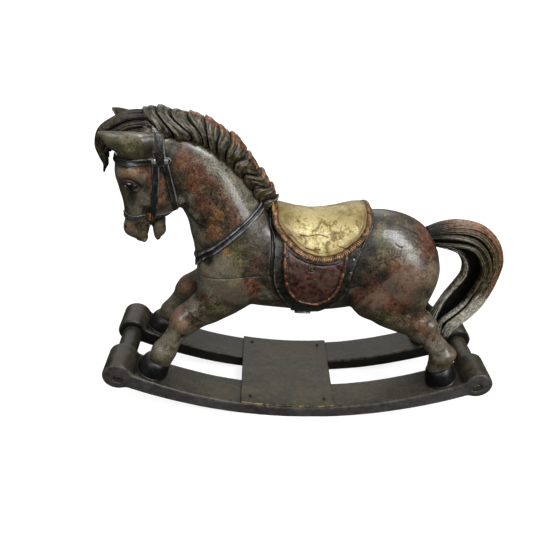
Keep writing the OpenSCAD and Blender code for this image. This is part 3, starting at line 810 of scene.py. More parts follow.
def seat_pad(skin, material):
    """The gilt seat inside the rope, with a groove beside its edge and cracks across it."""
    seat = Line(SEAT_EDGE, per=5)

    def seat_height(x, z, d):
        return seat_rise(x, z) - 0.4 + 0.5 * bump(d, 2.4, 0.7) - 0.4 * bump(d, 3.9, 0.6)

    pad = layer("seat_pad", skin, seat, seat_height, material, "gold_leaf", ("seat",), z=(150, 246),
                wear=0.35, seed=3, corner=2.0, inset=4.4)
    x, z = vertices(pad)[:, 0], vertices(pad)[:, 2]
    crack = [np.clip(1.5 + Line(line, 0.0, 5).measure(x, z)[0] / SEAT_CRACK_HALF, 0, 1)
             for line in SEAT_CRACKS]
    keep(pad, crack=np.maximum.reduce(crack))


def seat_rope(skin, material):
    """The roped edge: two strands laid round each other along the seat's outline and over the back."""
    seat = Line(SEAT_EDGE, per=5)
    grid, field = skin.part(seat, TACK_STEP * 0.9, z=(150, 250))
    x, z = grid.x[:, :, 0], grid.z[:, 0, :]
    d, along = seat.measure(x, z)
    lowest = seat.measure(np.array([14.0]), np.array([170.0]))[1][0]

    def lay(u, v, along, y):
        over = np.where(along < lowest, -1.0, 1.0) * np.clip(BACK_HALF - np.abs(y), 0, 60)
        return np.abs(np.cos(np.arctan2(v, u) + 2 * math.pi * (along + over) / ROPE_PITCH))

    u = (d - ROPE_INSET)[:, None, :]
    v = (field - (seat_rise(x, z) - ROPE_LOW)[:, None, :]).astype(np.float32)
    strand = ROPE_RADIUS + 0.6 * lay(u, v, along[:, None, :], grid.y) + 0.25 * rough(grid, 6, 77)
    out = (np.hypot(u, v) - strand) * 0.85
    trim = np.maximum(out, -3.2 - v).astype(np.float32)
    piece = finish_layer("seat_rope", grid, trim, v, seat, material, ("seat_trim",))
    points = vertices(piece)
    d, along = seat.measure(points[:, 0], points[:, 2])
    keep(piece, lay=lay(d - ROPE_INSET, grid.sample(v, points), along, points[:, 1]))


class Trimmed:
    """A line's inside, kept clear of another line's."""

    def __init__(self, line, other, gap):
        self.line, self.other, self.gap = line, other, gap
        self.low, self.high = line.low, line.high

    def measure(self, x, z):
        d, along = self.line.measure(x, z)
        return np.minimum(d, self.gap - self.other.measure(x, z)[0]), along


def flaps(skin, leather, welt):
    """A flap on each side that hangs from under the seat, with a lumpy welt round it."""
    flap = Line(FLAP_EDGE, per=5)
    below_seat = Trimmed(flap, Line(SEAT_EDGE, per=5), 2.0)

    def flap_height(x, z, d):
        ring = np.hypot(x - FLAP_BUTTON[0], z - FLAP_BUTTON[1])
        return FLAP_RISE - 0.5 * bump(d, 4.6, 0.5) - 0.4 * bump(ring, 3.4, 0.6)

    for side, name, y in ((-1, "left", (-60, 0)), (1, "right", (0, 60))):
        layer("flap_hide_" + name, skin, below_seat, flap_height, leather, "burgundy_leather",
              ("flap_" + name,), y=y, z=(120, 200), below=0.5, wear=0.4, seed=5, corner=1.4)
        grid, field = skin.part(flap, TACK_STEP, y, (120, 200))
        x, z = grid.x[:, :, 0], grid.z[:, 0, :]
        d, along = flap.measure(x, z)
        lump = 0.25 * np.sin(along / 1.7) * np.sin(along / 4.3 + side)
        out = np.hypot((d - 1.6)[:, None, :], field - (FLAP_RISE - 0.2) + 0.3 * rough(grid, 4, 8)) \
            - (1.55 + lump)[:, None, :]
        out = np.maximum(out, -below_seat.measure(x, z)[0][:, None, :])
        finish_layer("flap_welt_" + name, grid, out.astype(np.float32), field, flap, welt,
                     ())


# ---------------------------------------------------------------- straps

def strap(name, skin, points, half, material, node, thick=1.9, groove=0.0, y=(-60, 60), z=(40, 300)):
    """A strap of a half width along a line in the side view, thickened beside its edges."""
    def height(x, z, d):
        return thick + 0.2 * bump(d, 0.9, 0.5) - groove * bump(d, half, 0.8)

    layer(name, skin, Line(points, half, 4), height, material, "strap_leather", (node,), y=y, z=z,
          wear=0.05, seed=11, below=-0.6)


THROAT = [(-133, 268), (-129, 246), (-125, 224)]
COLLAR = [(-36, 232), (-45, 226), (-62, 212), (-84, 193), (-102, 177), (-110, 168), (-118, 156)]
CROWN = [(-138, 318), (-138.5, 290), (-137, 266)]
BROW = [(-198, 266.5), (-172, 263.5), (-150, 265.5), (-130, 267)]
CHEEK = [(-140.5, 267), (-142, 240), (-147, 212)]
NOSE = [(-192, 208), (-170, 209), (-150, 211.5), (-126, 217)]
SIDES = (("left", (-40, 0)), ("right", (0, 40)))
KEEPERS, KEEPER_Z, KEEPER_HALF = (-142, -131.5), 266.5, (2, 2.2)


def bridle(skin, leather, worn_leather, steel):
    """The bridle's straps, and two metal keepers beside each temple."""
    strap("crown_strap", skin, CROWN, 5.2, leather, "crownpiece", thick=2.3, z=(262, 300))
    strap("brow_strap", skin, BROW, 2.9, leather, "browband", thick=2.0)
    for side, y in SIDES:
        strap("cheek_strap_" + side, skin, CHEEK, 2.9, leather, "cheekpiece_" + side, y=y)
    strap("throat_strap", skin, THROAT, 2.5, leather, "throatlatch")
    strap("nose_strap", skin, NOSE, 2.4, worn_leather, "noseband", thick=1.1)
    half_x, half_z = KEEPER_HALF
    for k, x in enumerate(KEEPERS):
        for side, y in SIDES:
            edge = Line([(x + a * half_x, KEEPER_Z + b * half_z)
                         for a, b in ((-1, -1), (1, -1), (1, 1), (-1, 1))], per=1)
            layer(f"keeper_{side}_{k + 1}", skin, edge, lambda u, w, d: 3.1 + 0 * d, steel, "aged_brass", y=y)


def collar(skin, leather):
    """The breast collar, a strap with a groove along its middle."""
    strap("breast_strap", skin, COLLAR, 3.0, leather, "breast_collar", thick=2.2, groove=0.8)


# ---------------------------------------------------------------- ears and eyes

EAR = [(-141, 290, -141, 270, 5, -13), (-150, 291.5, -150, 268.5, 6.5, -16.5),
       (-161, 292.5, -161, 268.5, 6.5, -19), (-171, 293, -171, 272.5, 5.2, -20),
       (-179, 292.5, -179, 278, 3.6, -20.5), (-186, 291, -185, 287, 1.6, -20.5)]
EAR_HOLLOW = [(-146, 292, -145, 276, 3.4, -12), (-153, 295, -152, 273.5, 5.0, -14.5),
              (-162, 296.5, -162, 273.5, 5.0, -16.5), (-171, 296.5, -171, 277, 4.0, -18),
              (-179, 295, -179, 282, 2.4, -19), (-184.5, 292.8, -184.5, 288.5, 1.0, -19.5)]
RIGHT_EAR_RAISED = 13.0
EAR_ROOT = (-141, 279)


def ears(material):
    """Two hollowed ears laid forward, the right one raised; green, with a painted highlight in the middle and
    painted shade round the edges and at the root.
    """
    grid = Grid((-192, -30, 258), (-132, -4, 298), 0.4)
    outer = grid.level_set(*loft(EAR, (0.3, 0.8), sides=40), 4.0)
    hollow = grid.level_set(*loft(EAR_HOLLOW, (0.5, 0.8), sides=32), 4.0)
    shell = carve(outer, hollow, 0.9) + 0.16 * rough(grid, 5, 21)
    points, quads = grid.mesh(shell)
    bulge = curvature(grid, shell, points, 1.6)
    for side, name in ((1, "left"), (-1, "right")):
        faces = quads if side == 1 else quads[:, ::-1]
        placed = points * [1, side, 1]
        if side == -1:
            turn = math.radians(RIGHT_EAR_RAISED)
            u, w = placed[:, 0] - EAR_ROOT[0], placed[:, 2] - EAR_ROOT[1]
            placed[:, 0] = u * math.cos(turn) + w * math.sin(turn) + EAR_ROOT[0]
            placed[:, 2] = w * math.cos(turn) - u * math.sin(turn) + EAR_ROOT[1]
        piece = add_piece("ear_carved_" + name, placed, faces, material, ("ear_" + name,))
        centre = np.exp(-((points[:, 0] + 160) ** 2 + (points[:, 2] - 280) ** 2) / 64)
        root = np.clip((points[:, 0] + 153) / 10, 0, 1)
        # A painted highlight in the middle (pale and ochre) and painted shade round the edges and at the root
        # (dark).
        keep(piece, bulge=bulge, green=np.full(len(points), 1.8), pale=0.3 * centre, ochre=0.1 * centre,
             dark=0.40 - 0.40 * centre + 0.6 * root, **{k: 0 * centre for k in ("rust", "plum")})


def eyes(material):
    """Glossy almond eyes set between the lids."""
    rings, sides, length = 20, 40, 7.6
    bundle = Bundle()
    for side in (-1, 1):
        points = []
        for i in range(rings + 1):
            a = math.pi * i / rings
            for j in range(sides):
                b = 2 * math.pi * j / sides
                points.append((math.cos(a) * length, math.sin(a) * math.cos(b) * 4.6,
                               math.sin(a) * math.sin(b) * 4.7))
        points = np.array(points)
        points[:, 2] *= 1 - 0.35 * np.abs(points[:, 0] / length) ** 2
        tilt = math.radians(EYE_TILT)
        x = points[:, 0] * math.cos(tilt) - points[:, 2] * math.sin(tilt)
        z = points[:, 0] * math.sin(tilt) + points[:, 2] * math.cos(tilt)
        points = np.stack([x + EYE[0], side * (points[:, 1] + EYE[1]), z + EYE[2]], 1)
        quads = np.array(tube_quads(rings + 1, sides))
        bundle.add(points, quads if side == 1 else quads[:, ::-1])
    return bundle.piece("eyes_polished", material, "eye_lacquer", ("eyes",))


# ---------------------------------------------------------------- rockers, rods, board and hooves

# Radii of the arc the horse rocks on and of the boards' top, both about a point RADIUS above the floor,
# and of the sole, which is flatter, so that the boards grow deeper towards their ends
RADIUS, TOP, SOLE = 409.0, 395.0, 450.0
# The rods' axes: how far out, how high, and the radius of the drums in the CAD. The photo's drums are
# a little bigger, higher and further out.
DRUM = (186.2, 48.5, 13.8)
DRUM_OUT, DRUM_UP, DRUM_GROWN = 0.7, 2.4, 1.4
ROD_RADIUS, TENON_RADIUS, TENON_HOLE = 10.6, 4.5, 4.55
ROCKER_Y, ROCKER_HALF = 37.5, 18.5
SCREW_X, SCREW_HEAD_RADIUS, SCREW_HEAD_DEPTH = (-153, 151), 4.3, 2.2
HOOF_X = {"fore_left": -154.6, "fore_right": -156.6, "hind_left": 153.6, "hind_right": 153.6}


def rockers(material):
    """Boards cut to an arc, each with a rolled end that takes the rods."""
    step = 0.8
    grid = Grid((-205, 17, -2), (205, 58, 68), step)
    sole = np.hypot(grid.x, grid.z - SOLE) - SOLE
    top = TOP - np.hypot(grid.x, grid.z - RADIUS)
    board = np.maximum(np.maximum(sole, top), np.abs(grid.x) - DRUM[0])
    drum = np.hypot(np.abs(grid.x) - DRUM[0] - DRUM_OUT, grid.z - DRUM[1] - DRUM_UP) - DRUM[2] - DRUM_GROWN
    shape = blend(board, drum, 3)
    ends = np.abs(grid.y - ROCKER_Y) - ROCKER_HALF
    swell = 0.5 * np.clip(drum / -DRUM[2], 0, 1)
    block = overlap(shape + grid.y * 0, ends - swell, 2.2)
    plug = np.hypot(np.abs(grid.x) - DRUM[0], grid.z - DRUM[1])
    block = carve(block, np.maximum(plug - 5.0, ROCKER_Y + ROCKER_HALF - 2 - grid.y), 0.5)
    block = np.maximum(block, TENON_HOLE - plug)
    for x in SCREW_X:
        base, out = on_arc(x)
        across = (grid.x - base[0]) * out[2] - (grid.z - base[2]) * out[0]
        down = (grid.x - base[0]) * out[0] + (grid.z - base[2]) * out[2]
        hole = np.maximum(np.hypot(across, grid.y - ROCKER_Y) - SCREW_HEAD_RADIUS,
                          down + (RADIUS - TOP) - SCREW_HEAD_DEPTH)
        block = np.maximum(block, -hole)
    for side, name in ((-1, "left"), (1, "right")):
        wear = 0.16 * rough(grid, 22, 30 + side) + 0.05 * rough(grid, 5, 40 + side)
        dents = rough(grid, 7, 60 + side)
        field = (block + wear + 0.7 * np.clip(dents - 0.75, 0, 1)).astype(np.float32)
        points, quads = grid.mesh(field)
        bulge = curvature(grid, field, points, 2.4)
        faces = quads if side == 1 else quads[:, ::-1]
        piece = add_piece("rocker_shaped_" + name, points * [1, side, 1], faces, material,
                          ("rocker_" + name,))
        keep(piece, bulge=bulge)


def rods(material):
    """Round rods between the drums, with a thinner tenon at each end that shows in the drum's face."""
    grid = Grid((-202, -60, 34), (-170, 60, 63), 0.9)
    round_bar = np.hypot(grid.x + DRUM[0], grid.z - DRUM[1])
    bar = np.maximum(round_bar - ROD_RADIUS, np.abs(grid.y) - 19.2)
    tenon = np.maximum(round_bar - TENON_RADIUS, np.abs(grid.y) - 56.2)
    for side, name in ((1, "front"), (-1, "rear")):
        field = (np.minimum(bar, tenon) + 0.12 * rough(grid, 12, 70 + side)).astype(np.float32)
        points, quads = grid.mesh(field)
        bulge = curvature(grid, field, points, 2.4)
        faces = quads if side == 1 else quads[:, ::-1]
        piece = add_piece("rod_turned_" + name, points * [side, 1, 1], faces, material,
                          ("rod_" + name,))
        keep(piece, bulge=bulge)


# The footboard's middle along X, and its half thickness, half length and half width
BOARD_X, BOARD_HALF = -11.5, (1.5, 50, 56)


def footboard(material):
    """A thin board bent over both rockers, dented and worn at its edges."""
    thick, length, width = BOARD_HALF
    grid = Grid((-64, -58, 12), (41, 58, 24), 0.7)
    plate = np.abs(np.hypot(grid.x, grid.z - RADIUS) - (TOP - thick)) - thick
    outline = np.maximum(np.abs(grid.x - BOARD_X) - length, np.abs(grid.y) - width)
    field = overlap(plate + grid.y * 0, outline + grid.z * 0, 1.2)
    field = field + 0.07 * rough(grid, 12, 90) + 0.5 * np.clip(rough(grid, 5, 92) - 0.75, 0, 1)
    points, quads = grid.mesh(field.astype(np.float32))
    piece = add_piece("footboard_worn", points, quads, material, ("footboard",))
    inset = np.maximum(np.abs(points[:, 0] - BOARD_X) - length, np.abs(points[:, 1]) - width)
    return keep(piece, bulge=np.clip(1 + inset, -0.1, 1))


def on_arc(x):
    """Point on the rockers' top at x, and the direction straight out of it."""
    angle = math.asin(x / TOP)
    out = np.array([-math.sin(angle), 0, math.cos(angle)])
    return np.array([x, 0, RADIUS]) - [0, 0, TOP * math.cos(angle)], out


def lathe(profile, sides=48):
    """A round solid from radius, height pairs, in its own axes."""
    profile = np.array(profile, float)
    t = np.linspace(0, 2 * math.pi, sides, endpoint=False)
    return capped(np.stack([profile[:, :1] * np.cos(t), profile[:, :1] * np.sin(t),
                            profile[:, 1:] + 0 * t], 2))


def stand(points, place, out):
    """Turns a lathe's points so that its axis runs along out, and moves it to a place."""
    out = np.array(out, float)
    side = np.cross([0, 1, 0], out) if abs(out[1]) < 0.9 else np.array([1.0, 0, 0])
    side /= np.linalg.norm(side)
    return points[:, :1] * side + points[:, 1:2] * np.cross(out, side) + points[:, 2:] * out + place


HOOF = [(15.4, 0), (16.4, 0.3), (16.8, 0.9), (16.8, 1.6), (16.3, 2.1), (16.0, 2.5), (16.1, 3.4),
        (16.0, 5.4), (15.6, 8.0), (15.0, 11), (14.2, 13.8), (13.2, 16), (12.0, 17.6), (10.6, 18.6), (8, 19)]


def hooves(material):
    """Turned cups with a rim round the foot, square to the arc and leaning forward a little."""
    profile = spline(HOOF, 3)
    for name, x in HOOF_X.items():
        base, out = on_arc(x)
        points, quads = lathe(profile, 64)
        rim = np.clip(1 - np.abs(points[:, 2] - 1.3) / 0.9, 0, 1) * (np.hypot(*points.T[:2]) > 15.9)
        points[:, 0] -= 0.06 * (16 - points[:, 2])
        side = 1 if name.endswith("right") else -1
        points = stand(points, base + [0, side * ROCKER_Y, 0], out)
        piece = add_piece("hoof_turned_" + name, points, quads, material, ("hoof_" + name,))
        keep(piece, rim=rim)


NAIL = [(0.8, -1.2), (0.9, 0.1), (1.75, 0.12), (1.85, 0.45), (1.5, 0.95), (0.9, 1.2), (0.3, 1.28)]
NAIL_X, NAIL_Y, BOARD_THICK = (-51.5, 28.5), (-46, 46), 3.0


def nails(material):
    """A domed nail near each corner of the board."""
    bundle = Bundle()
    for x in NAIL_X:
        for y in NAIL_Y:
            base, out = on_arc(x)
            points, quads = lathe(NAIL, 20)
            bundle.add(stand(points, base + [0, y, 0] + out * BOARD_THICK, out), quads)
    return bundle.piece("nail_heads", material, "worn_steel", ("footboard_nails",))


# ---------------------------------------------------------------- materials

NEAR_BLACK = (0.003, 0.003, 0.0025)


class Paint:
    """A procedural material. Its calls add nodes and hand back the socket with the result."""

    def __init__(self, name):
        self.material = bpy.data.materials.new(name)
        self.material.use_nodes = True
        self.tree = self.material.node_tree
        self.shader = self.tree.nodes["Principled BSDF"]
        self.place = self.node("ShaderNodeTexCoord").outputs["Object"]

    def node(self, kind, **settings):
        made = self.tree.nodes.new(kind)
        for key, value in settings.items():
            setattr(made, key, value)
        return made

    def plug(self, socket, value):
        """Joins a socket to another one, or gives it a fixed value."""
        if isinstance(value, bpy.types.NodeSocket):
            self.tree.links.new(value, socket)
        elif isinstance(value, tuple) and socket.type == "RGBA":
            socket.default_value = (*value, 1.0)
        else:
            socket.default_value = value

    def scaled(self, factors):
        """Object coordinates with each axis stretched by a factor."""
        made = self.node("ShaderNodeVectorMath", operation="MULTIPLY")
        self.plug(made.inputs[0], self.place)
        made.inputs[1].default_value = factors
        return made.outputs[0]

    def noise(self, size, detail=3.0, rough=0.55, bend=0.0, stretch=None):
        """Noise of about 0 to 1 with lumps about size millimetres across."""
        made = self.node("ShaderNodeTexNoise")
        self.plug(made.inputs["Vector"], self.scaled(stretch) if stretch else self.place)
        made.inputs["Scale"].default_value = 1 / (size * MM)
        made.inputs["Detail"].default_value = detail
        made.inputs["Roughness"].default_value = rough
        made.inputs["Distortion"].default_value = bend
        return made.outputs["Fac"]

    def cells(self, size, edges=False, wobble=0.0):
        """Distance from the middle of random cells, or from their edges, in cell widths."""
        made = self.node("ShaderNodeTexVoronoi", feature="DISTANCE_TO_EDGE" if edges else "F1")
        place = self.place
        if wobble:
            noise = self.node("ShaderNodeTexNoise")
            self.plug(noise.inputs["Vector"], self.place)
            noise.inputs["Scale"].default_value = 0.6 / (size * MM)
            shift = self.node("ShaderNodeVectorMath", operation="MULTIPLY_ADD")
            self.plug(shift.inputs[0], noise.outputs["Color"])
            shift.inputs[1].default_value = (wobble * MM,) * 3
            self.plug(shift.inputs[2], self.place)
            place = shift.outputs[0]
        self.plug(made.inputs["Vector"], place)
        made.inputs["Scale"].default_value = 1 / (size * MM)
        return made.outputs["Distance"]

    def number(self, name):
        """A number kept at each point of the piece."""
        return self.node("ShaderNodeAttribute", attribute_name=name).outputs["Fac"]

    def axis(self, which):
        """An object coordinate in millimetres."""
        parts = self.node("ShaderNodeSeparateXYZ")
        self.plug(parts.inputs[0], self.place)
        return self.math("MULTIPLY", parts.outputs["XYZ".index(which)], 1 / MM)

    def math(self, kind, a, b=0.0):
        made = self.node("ShaderNodeMath", operation=kind)
        self.plug(made.inputs[0], a)
        self.plug(made.inputs[1], b)
        return made.outputs[0]

    def times(self, a, b):
        return self.math("MULTIPLY", a, b)

    def plus(self, a, b):
        return self.math("ADD", a, b)

    def minus(self, a, b):
        return self.math("SUBTRACT", a, b)

    def span(self, value, low, high, to=(0.0, 1.0)):
        """Values from low to high spread over a new range, eased at both ends."""
        made = self.node("ShaderNodeMapRange", interpolation_type="SMOOTHSTEP")
        self.plug(made.inputs["Value"], value)
        for key, number in zip(("From Min", "From Max", "To Min", "To Max"), (low, high) + to):
            made.inputs[key].default_value = number
        return made.outputs["Result"]

    def ramp(self, value, *stops):
        """A colour for each value, from stops of value and colour."""
        made = self.node("ShaderNodeValToRGB")
        self.plug(made.inputs["Fac"], value)
        spots = made.color_ramp.elements
        while len(spots) < len(stops):
            spots.new(0.5)
        for spot, (place, colour) in zip(spots, stops):
            spot.position = place
            spot.color = (*colour, 1.0)
        return made.outputs["Color"]

    def mix(self, share, a, b):
        """Colour a where share is 0, colour b where it is 1."""
        made = self.node("ShaderNodeMix", data_type="RGBA", clamp_factor=True)
        self.plug(made.inputs[0], share)
        self.plug(made.inputs[6], a)
        self.plug(made.inputs[7], b)
        return made.outputs[2]

    def stain(self, colour, share, amount, other):
        """The colour, turned by an amount (0 to 1) into another one where share is 1."""
        return self.mix(self.times(share, amount), colour, other)

    def darker(self, colour, share, amount):
        return self.stain(colour, share, amount, NEAR_BLACK)

    def finish(self, colour, rough, height=None, depth=0.2, metal=0.0, coat=0.0, gloss=0.5):
        """Connects the shader; height drives a bump of a given depth in millimetres."""
        self.shader.inputs["Specular IOR Level"].default_value = gloss
        self.plug(self.shader.inputs["Base Color"], colour)
        self.plug(self.shader.inputs["Roughness"], rough)
        self.plug(self.shader.inputs["Metallic"], metal)
        if coat:
            self.shader.inputs["Coat Weight"].default_value = coat
            self.shader.inputs["Coat Roughness"].default_value = 0.16
        if height is not None:
            made = self.node("ShaderNodeBump")
            made.inputs["Distance"].default_value = depth * MM
            self.plug(made.inputs["Height"], height)
            self.plug(self.shader.inputs["Normal"], made.outputs["Normal"])
        return self.material


def coat_paint():
    """Old layered paint on carved wood: worn through in patches and crackled, with rubbed paint and a painted
    highlight on bulges, and dirt and painted shade in the hollows.
    """
    p = Paint("coat_paint")
    broad = p.noise(24, 4, 0.6, bend=0.9)
    patchy = p.noise(7, 5, 0.68, bend=0.7)
    grit = p.noise(1.3, 5, 0.75)
    bulge = p.number("bulge")
    tone = p.plus(p.times(broad, 0.45), p.times(patchy, 0.55))
    tone = p.plus(tone, p.times(p.minus(grit, 0.5), 0.35))
    colour = p.ramp(tone, (0.34, (0.011, 0.008, 0.005)), (0.45, (0.033, 0.024, 0.013)),
                    (0.54, (0.062, 0.050, 0.028)), (0.66, (0.130, 0.108, 0.064)))

    def layered(colour, name, *stops, edge=0.5, soft=0.45, most=0.85):
        ragged = p.plus(p.number(name), p.times(p.minus(tone, 0.5), 2.4))
        share = p.span(ragged, edge - soft, edge + soft, (0.0, most))
        return p.mix(share, colour, p.ramp(tone, *stops))

    colour = layered(colour, "green", (0.36, (0.020, 0.021, 0.006)), (0.50, (0.072, 0.070, 0.021)),
                     (0.64, (0.180, 0.170, 0.060)))
    colour = layered(colour, "plum", (0.36, (0.022, 0.008, 0.006)), (0.50, (0.066, 0.024, 0.018)),
                     (0.64, (0.120, 0.050, 0.038)))
    colour = layered(colour, "rust", (0.36, (0.045, 0.015, 0.006)), (0.50, (0.140, 0.050, 0.023)),
                     (0.64, (0.270, 0.115, 0.058)))
    # The pale layer is partly a painted highlight: along the neck's crest, on the croup and on the forehead.
    colour = layered(colour, "pale", (0.36, (0.056, 0.054, 0.035)), (0.50, (0.140, 0.134, 0.092)),
                     (0.64, (0.280, 0.270, 0.200)), most=0.90)
    colour = layered(colour, "ochre", (0.36, (0.080, 0.034, 0.008)), (0.50, (0.230, 0.105, 0.026)),
                     (0.64, (0.400, 0.230, 0.080)))
    # The dark layer is painted shade beside the tack and in the dark patches, and dark paint on the eye's
    # rims, the wormholes, the cracks and the neck's joint.
    colour = layered(colour, "dark", (0.36, (0.004, 0.004, 0.003)), (0.60, (0.014, 0.013, 0.009)),
                     most=0.92)
    ochre = p.times(p.span(grit, 0.56, 0.66), p.span(patchy, 0.46, 0.60))
    colour = p.stain(colour, ochre, 0.50, (0.24, 0.165, 0.085))
    colour = p.stain(colour, p.span(grit, 0.50, 0.40), 0.88, (0.005, 0.004, 0.003))
    # Lighter on bulges: rubbed paint and a painted highlight. Darker in hollows: dirt and painted shade.
    colour = p.stain(colour, p.span(bulge, 0.15, 0.7), 0.35, (0.20, 0.165, 0.12))
    colour = p.darker(colour, p.span(bulge, -0.10, -0.60), 0.75)
    crackle = p.span(p.cells(2.7, edges=True, wobble=1.2), 0.055, 0.015)
    crackle = p.times(crackle, p.span(p.noise(12, 3, 0.6), 0.44, 0.60))
    colour = p.darker(colour, crackle, 0.7)
    worm = p.times(p.span(p.cells(6.5, wobble=3.0), 0.13, 0.08), p.span(p.noise(15, 2), 0.50, 0.60))
    colour = p.darker(colour, worm, 0.95)
    colour = p.mix(0.24, colour, NEAR_BLACK)
    height = p.minus(p.times(grit, 0.16), p.times(crackle, 0.45))
    height = p.minus(p.plus(height, p.times(patchy, 0.5)), worm)
    return p.finish(colour, p.span(patchy, 0.3, 0.7, (0.26, 0.46)), height, 0.34, coat=0.30, gloss=0.38)


def hair_paint():
    """Olive and copper over near-black: the crests are rubbed and carry a painted highlight; the grooves are
    stained and carry painted shade, near black where deepest.
    """
    p = Paint("hair_paint")
    height, tint, silver = p.number("height"), p.number("tint"), p.number("silver")
    streak = p.noise(3.0, 4, 0.65, bend=0.5)
    grit = p.noise(0.9, 3, 0.7)
    olive = p.ramp(streak, (0.36, (0.009, 0.007, 0.004)), (0.50, (0.034, 0.027, 0.013)),
                   (0.66, (0.110, 0.090, 0.046)))
    copper = p.ramp(streak, (0.35, (0.036, 0.014, 0.007)), (0.50, (0.135, 0.062, 0.030)),
                    (0.66, (0.280, 0.150, 0.080)))
    pale = p.ramp(streak, (0.35, (0.120, 0.110, 0.080)), (0.50, (0.300, 0.285, 0.225)),
                  (0.64, (0.560, 0.540, 0.460)))
    colour = p.mix(p.span(p.plus(tint, p.times(streak, 0.4)), 0.58, 0.90), olive, copper)
    colour = p.mix(p.span(p.plus(silver, p.times(streak, 0.5)), 0.55, 1.0), colour, pale)
    # Crests: rubbed paint and a painted highlight. Grooves and the cores under the locks: stain and painted
    # shade, near black where deepest.
    crest = p.span(p.plus(height, p.times(grit, 0.3)), 0.80, 1.15)
    colour = p.stain(colour, crest, 0.35, (0.26, 0.20, 0.125))
    colour = p.darker(colour, p.span(height, 0.52, 0.12), 0.98)
    colour = p.darker(colour, p.span(grit, 0.46, 0.36), 0.6)
    bumps = p.plus(p.times(grit, 0.35), streak)
    return p.finish(colour, p.span(streak, 0.3, 0.7, (0.26, 0.42)), bumps, 0.30, coat=0.10, gloss=0.35)


def hide_paint():
    """Green-black saddle cloth of painted hide with a rubbed pale piping round it."""
    p = Paint("dark_leather")
    patchy, grit = p.noise(5, 4, 0.65), p.noise(0.9, 3, 0.65)
    edge, height = p.number("edge"), p.number("height")
    colour = p.ramp(patchy, (0.35, (0.004, 0.004, 0.003)), (0.52, (0.009, 0.009, 0.006)),
                    (0.68, (0.028, 0.026, 0.017)))
    piping = p.times(p.span(edge, 2.5, 1.7), p.span(height, 2.3, 3.0))
    colour = p.mix(p.times(piping, p.span(patchy, 0.40, 0.62, (0.0, 0.6))), colour, (0.15, 0.14, 0.11))
    return p.finish(colour, p.span(patchy, 0.3, 0.7, (0.24, 0.42)), p.plus(grit, patchy), 0.25)


def gold_leaf():
    """Gold leaf: cream in the middle, stained olive at the pommel and along the top, orange-brown low at
    the back, and cracked across."""
    p = Paint("gold_leaf")
    broad, patchy = p.noise(14, 4, 0.6, bend=1.0), p.noise(2.4, 6, 0.72, bend=0.6)
    scratch = p.noise(1.2, 4, 0.65, stretch=(0.22, 0.6, 1.6))
    edge, x, z = p.number("edge"), p.axis("X"), p.axis("Z")
    tone = p.plus(p.times(broad, 0.5), p.times(patchy, 0.5))
    uneven = p.times(p.minus(tone, 0.5), 60.0)
    colour = p.ramp(tone, (0.38, (0.130, 0.088, 0.018)), (0.46, (0.280, 0.210, 0.066)),
                    (0.53, (0.470, 0.400, 0.180)), (0.64, (0.640, 0.580, 0.350)))
    stain = p.ramp(tone, (0.36, (0.065, 0.042, 0.007)), (0.52, (0.175, 0.128, 0.030)),
                   (0.68, (0.320, 0.255, 0.090)))
    front = p.span(p.plus(x, uneven), 2.0, -24.0)
    colour = p.stain(colour, front, 0.85, stain)
    top = p.span(p.plus(z, uneven), 214.0, 224.0)
    colour = p.stain(colour, top, 0.75, stain)
    low_back = p.times(p.span(p.plus(x, uneven), 12.0, 32.0), p.span(p.plus(z, uneven), 206.0, 194.0))
    colour = p.stain(colour, low_back, 0.7, (0.36, 0.205, 0.060))
    rim = p.span(p.plus(edge, p.times(patchy, -6.0)), 9.0, 2.5)
    colour = p.stain(colour, rim, 0.85, (0.135, 0.075, 0.016))
    colour = p.stain(colour, p.span(patchy, 0.43, 0.33), 0.60, (0.120, 0.075, 0.018))
    colour = p.stain(colour, p.span(broad, 0.47, 0.38), 0.55, stain)
    cut = p.times(p.number("crack"), p.span(patchy, 0.38, 0.46))
    colour = p.darker(colour, cut, 0.9)
    colour = p.darker(colour, p.times(p.span(scratch, 0.40, 0.33), p.span(broad, 0.40, 0.55)), 0.60)
    # Painted shade along the rope's inner side.
    colour = p.darker(colour, p.span(edge, 6.4, 5.2), 0.8)
    height = p.plus(p.times(patchy, 0.8), p.times(scratch, 0.5))
    return p.finish(colour, p.span(patchy, 0.3, 0.7, (0.28, 0.50)), p.minus(height, cut), 0.40, metal=0.15)


def copper_trim():
    """Copper paint on the roped edge: rubbed bright with a painted highlight on the strands' crests, and
    painted shade in the lay of the rope.
    """
    p = Paint("copper_trim")
    patchy, grit = p.noise(3.5, 4, 0.65), p.noise(0.8, 3, 0.65)
    turn = p.number("lay")
    colour = p.ramp(patchy, (0.36, (0.020, 0.010, 0.005)), (0.50, (0.085, 0.042, 0.016)),
                    (0.64, (0.260, 0.135, 0.048)))
    # Strands' crests: rubbed copper and a painted highlight. The lay between them: painted shade.
    worn = p.times(p.span(turn, 0.66, 1.0), p.span(patchy, 0.42, 0.58))
    colour = p.stain(colour, worn, 0.6, (0.42, 0.22, 0.085))
    colour = p.darker(colour, p.span(turn, 0.50, 0.08), 0.9)
    return p.finish(colour, p.span(grit, 0.3, 0.7, (0.28, 0.44)), grit, 0.2, metal=0.25)


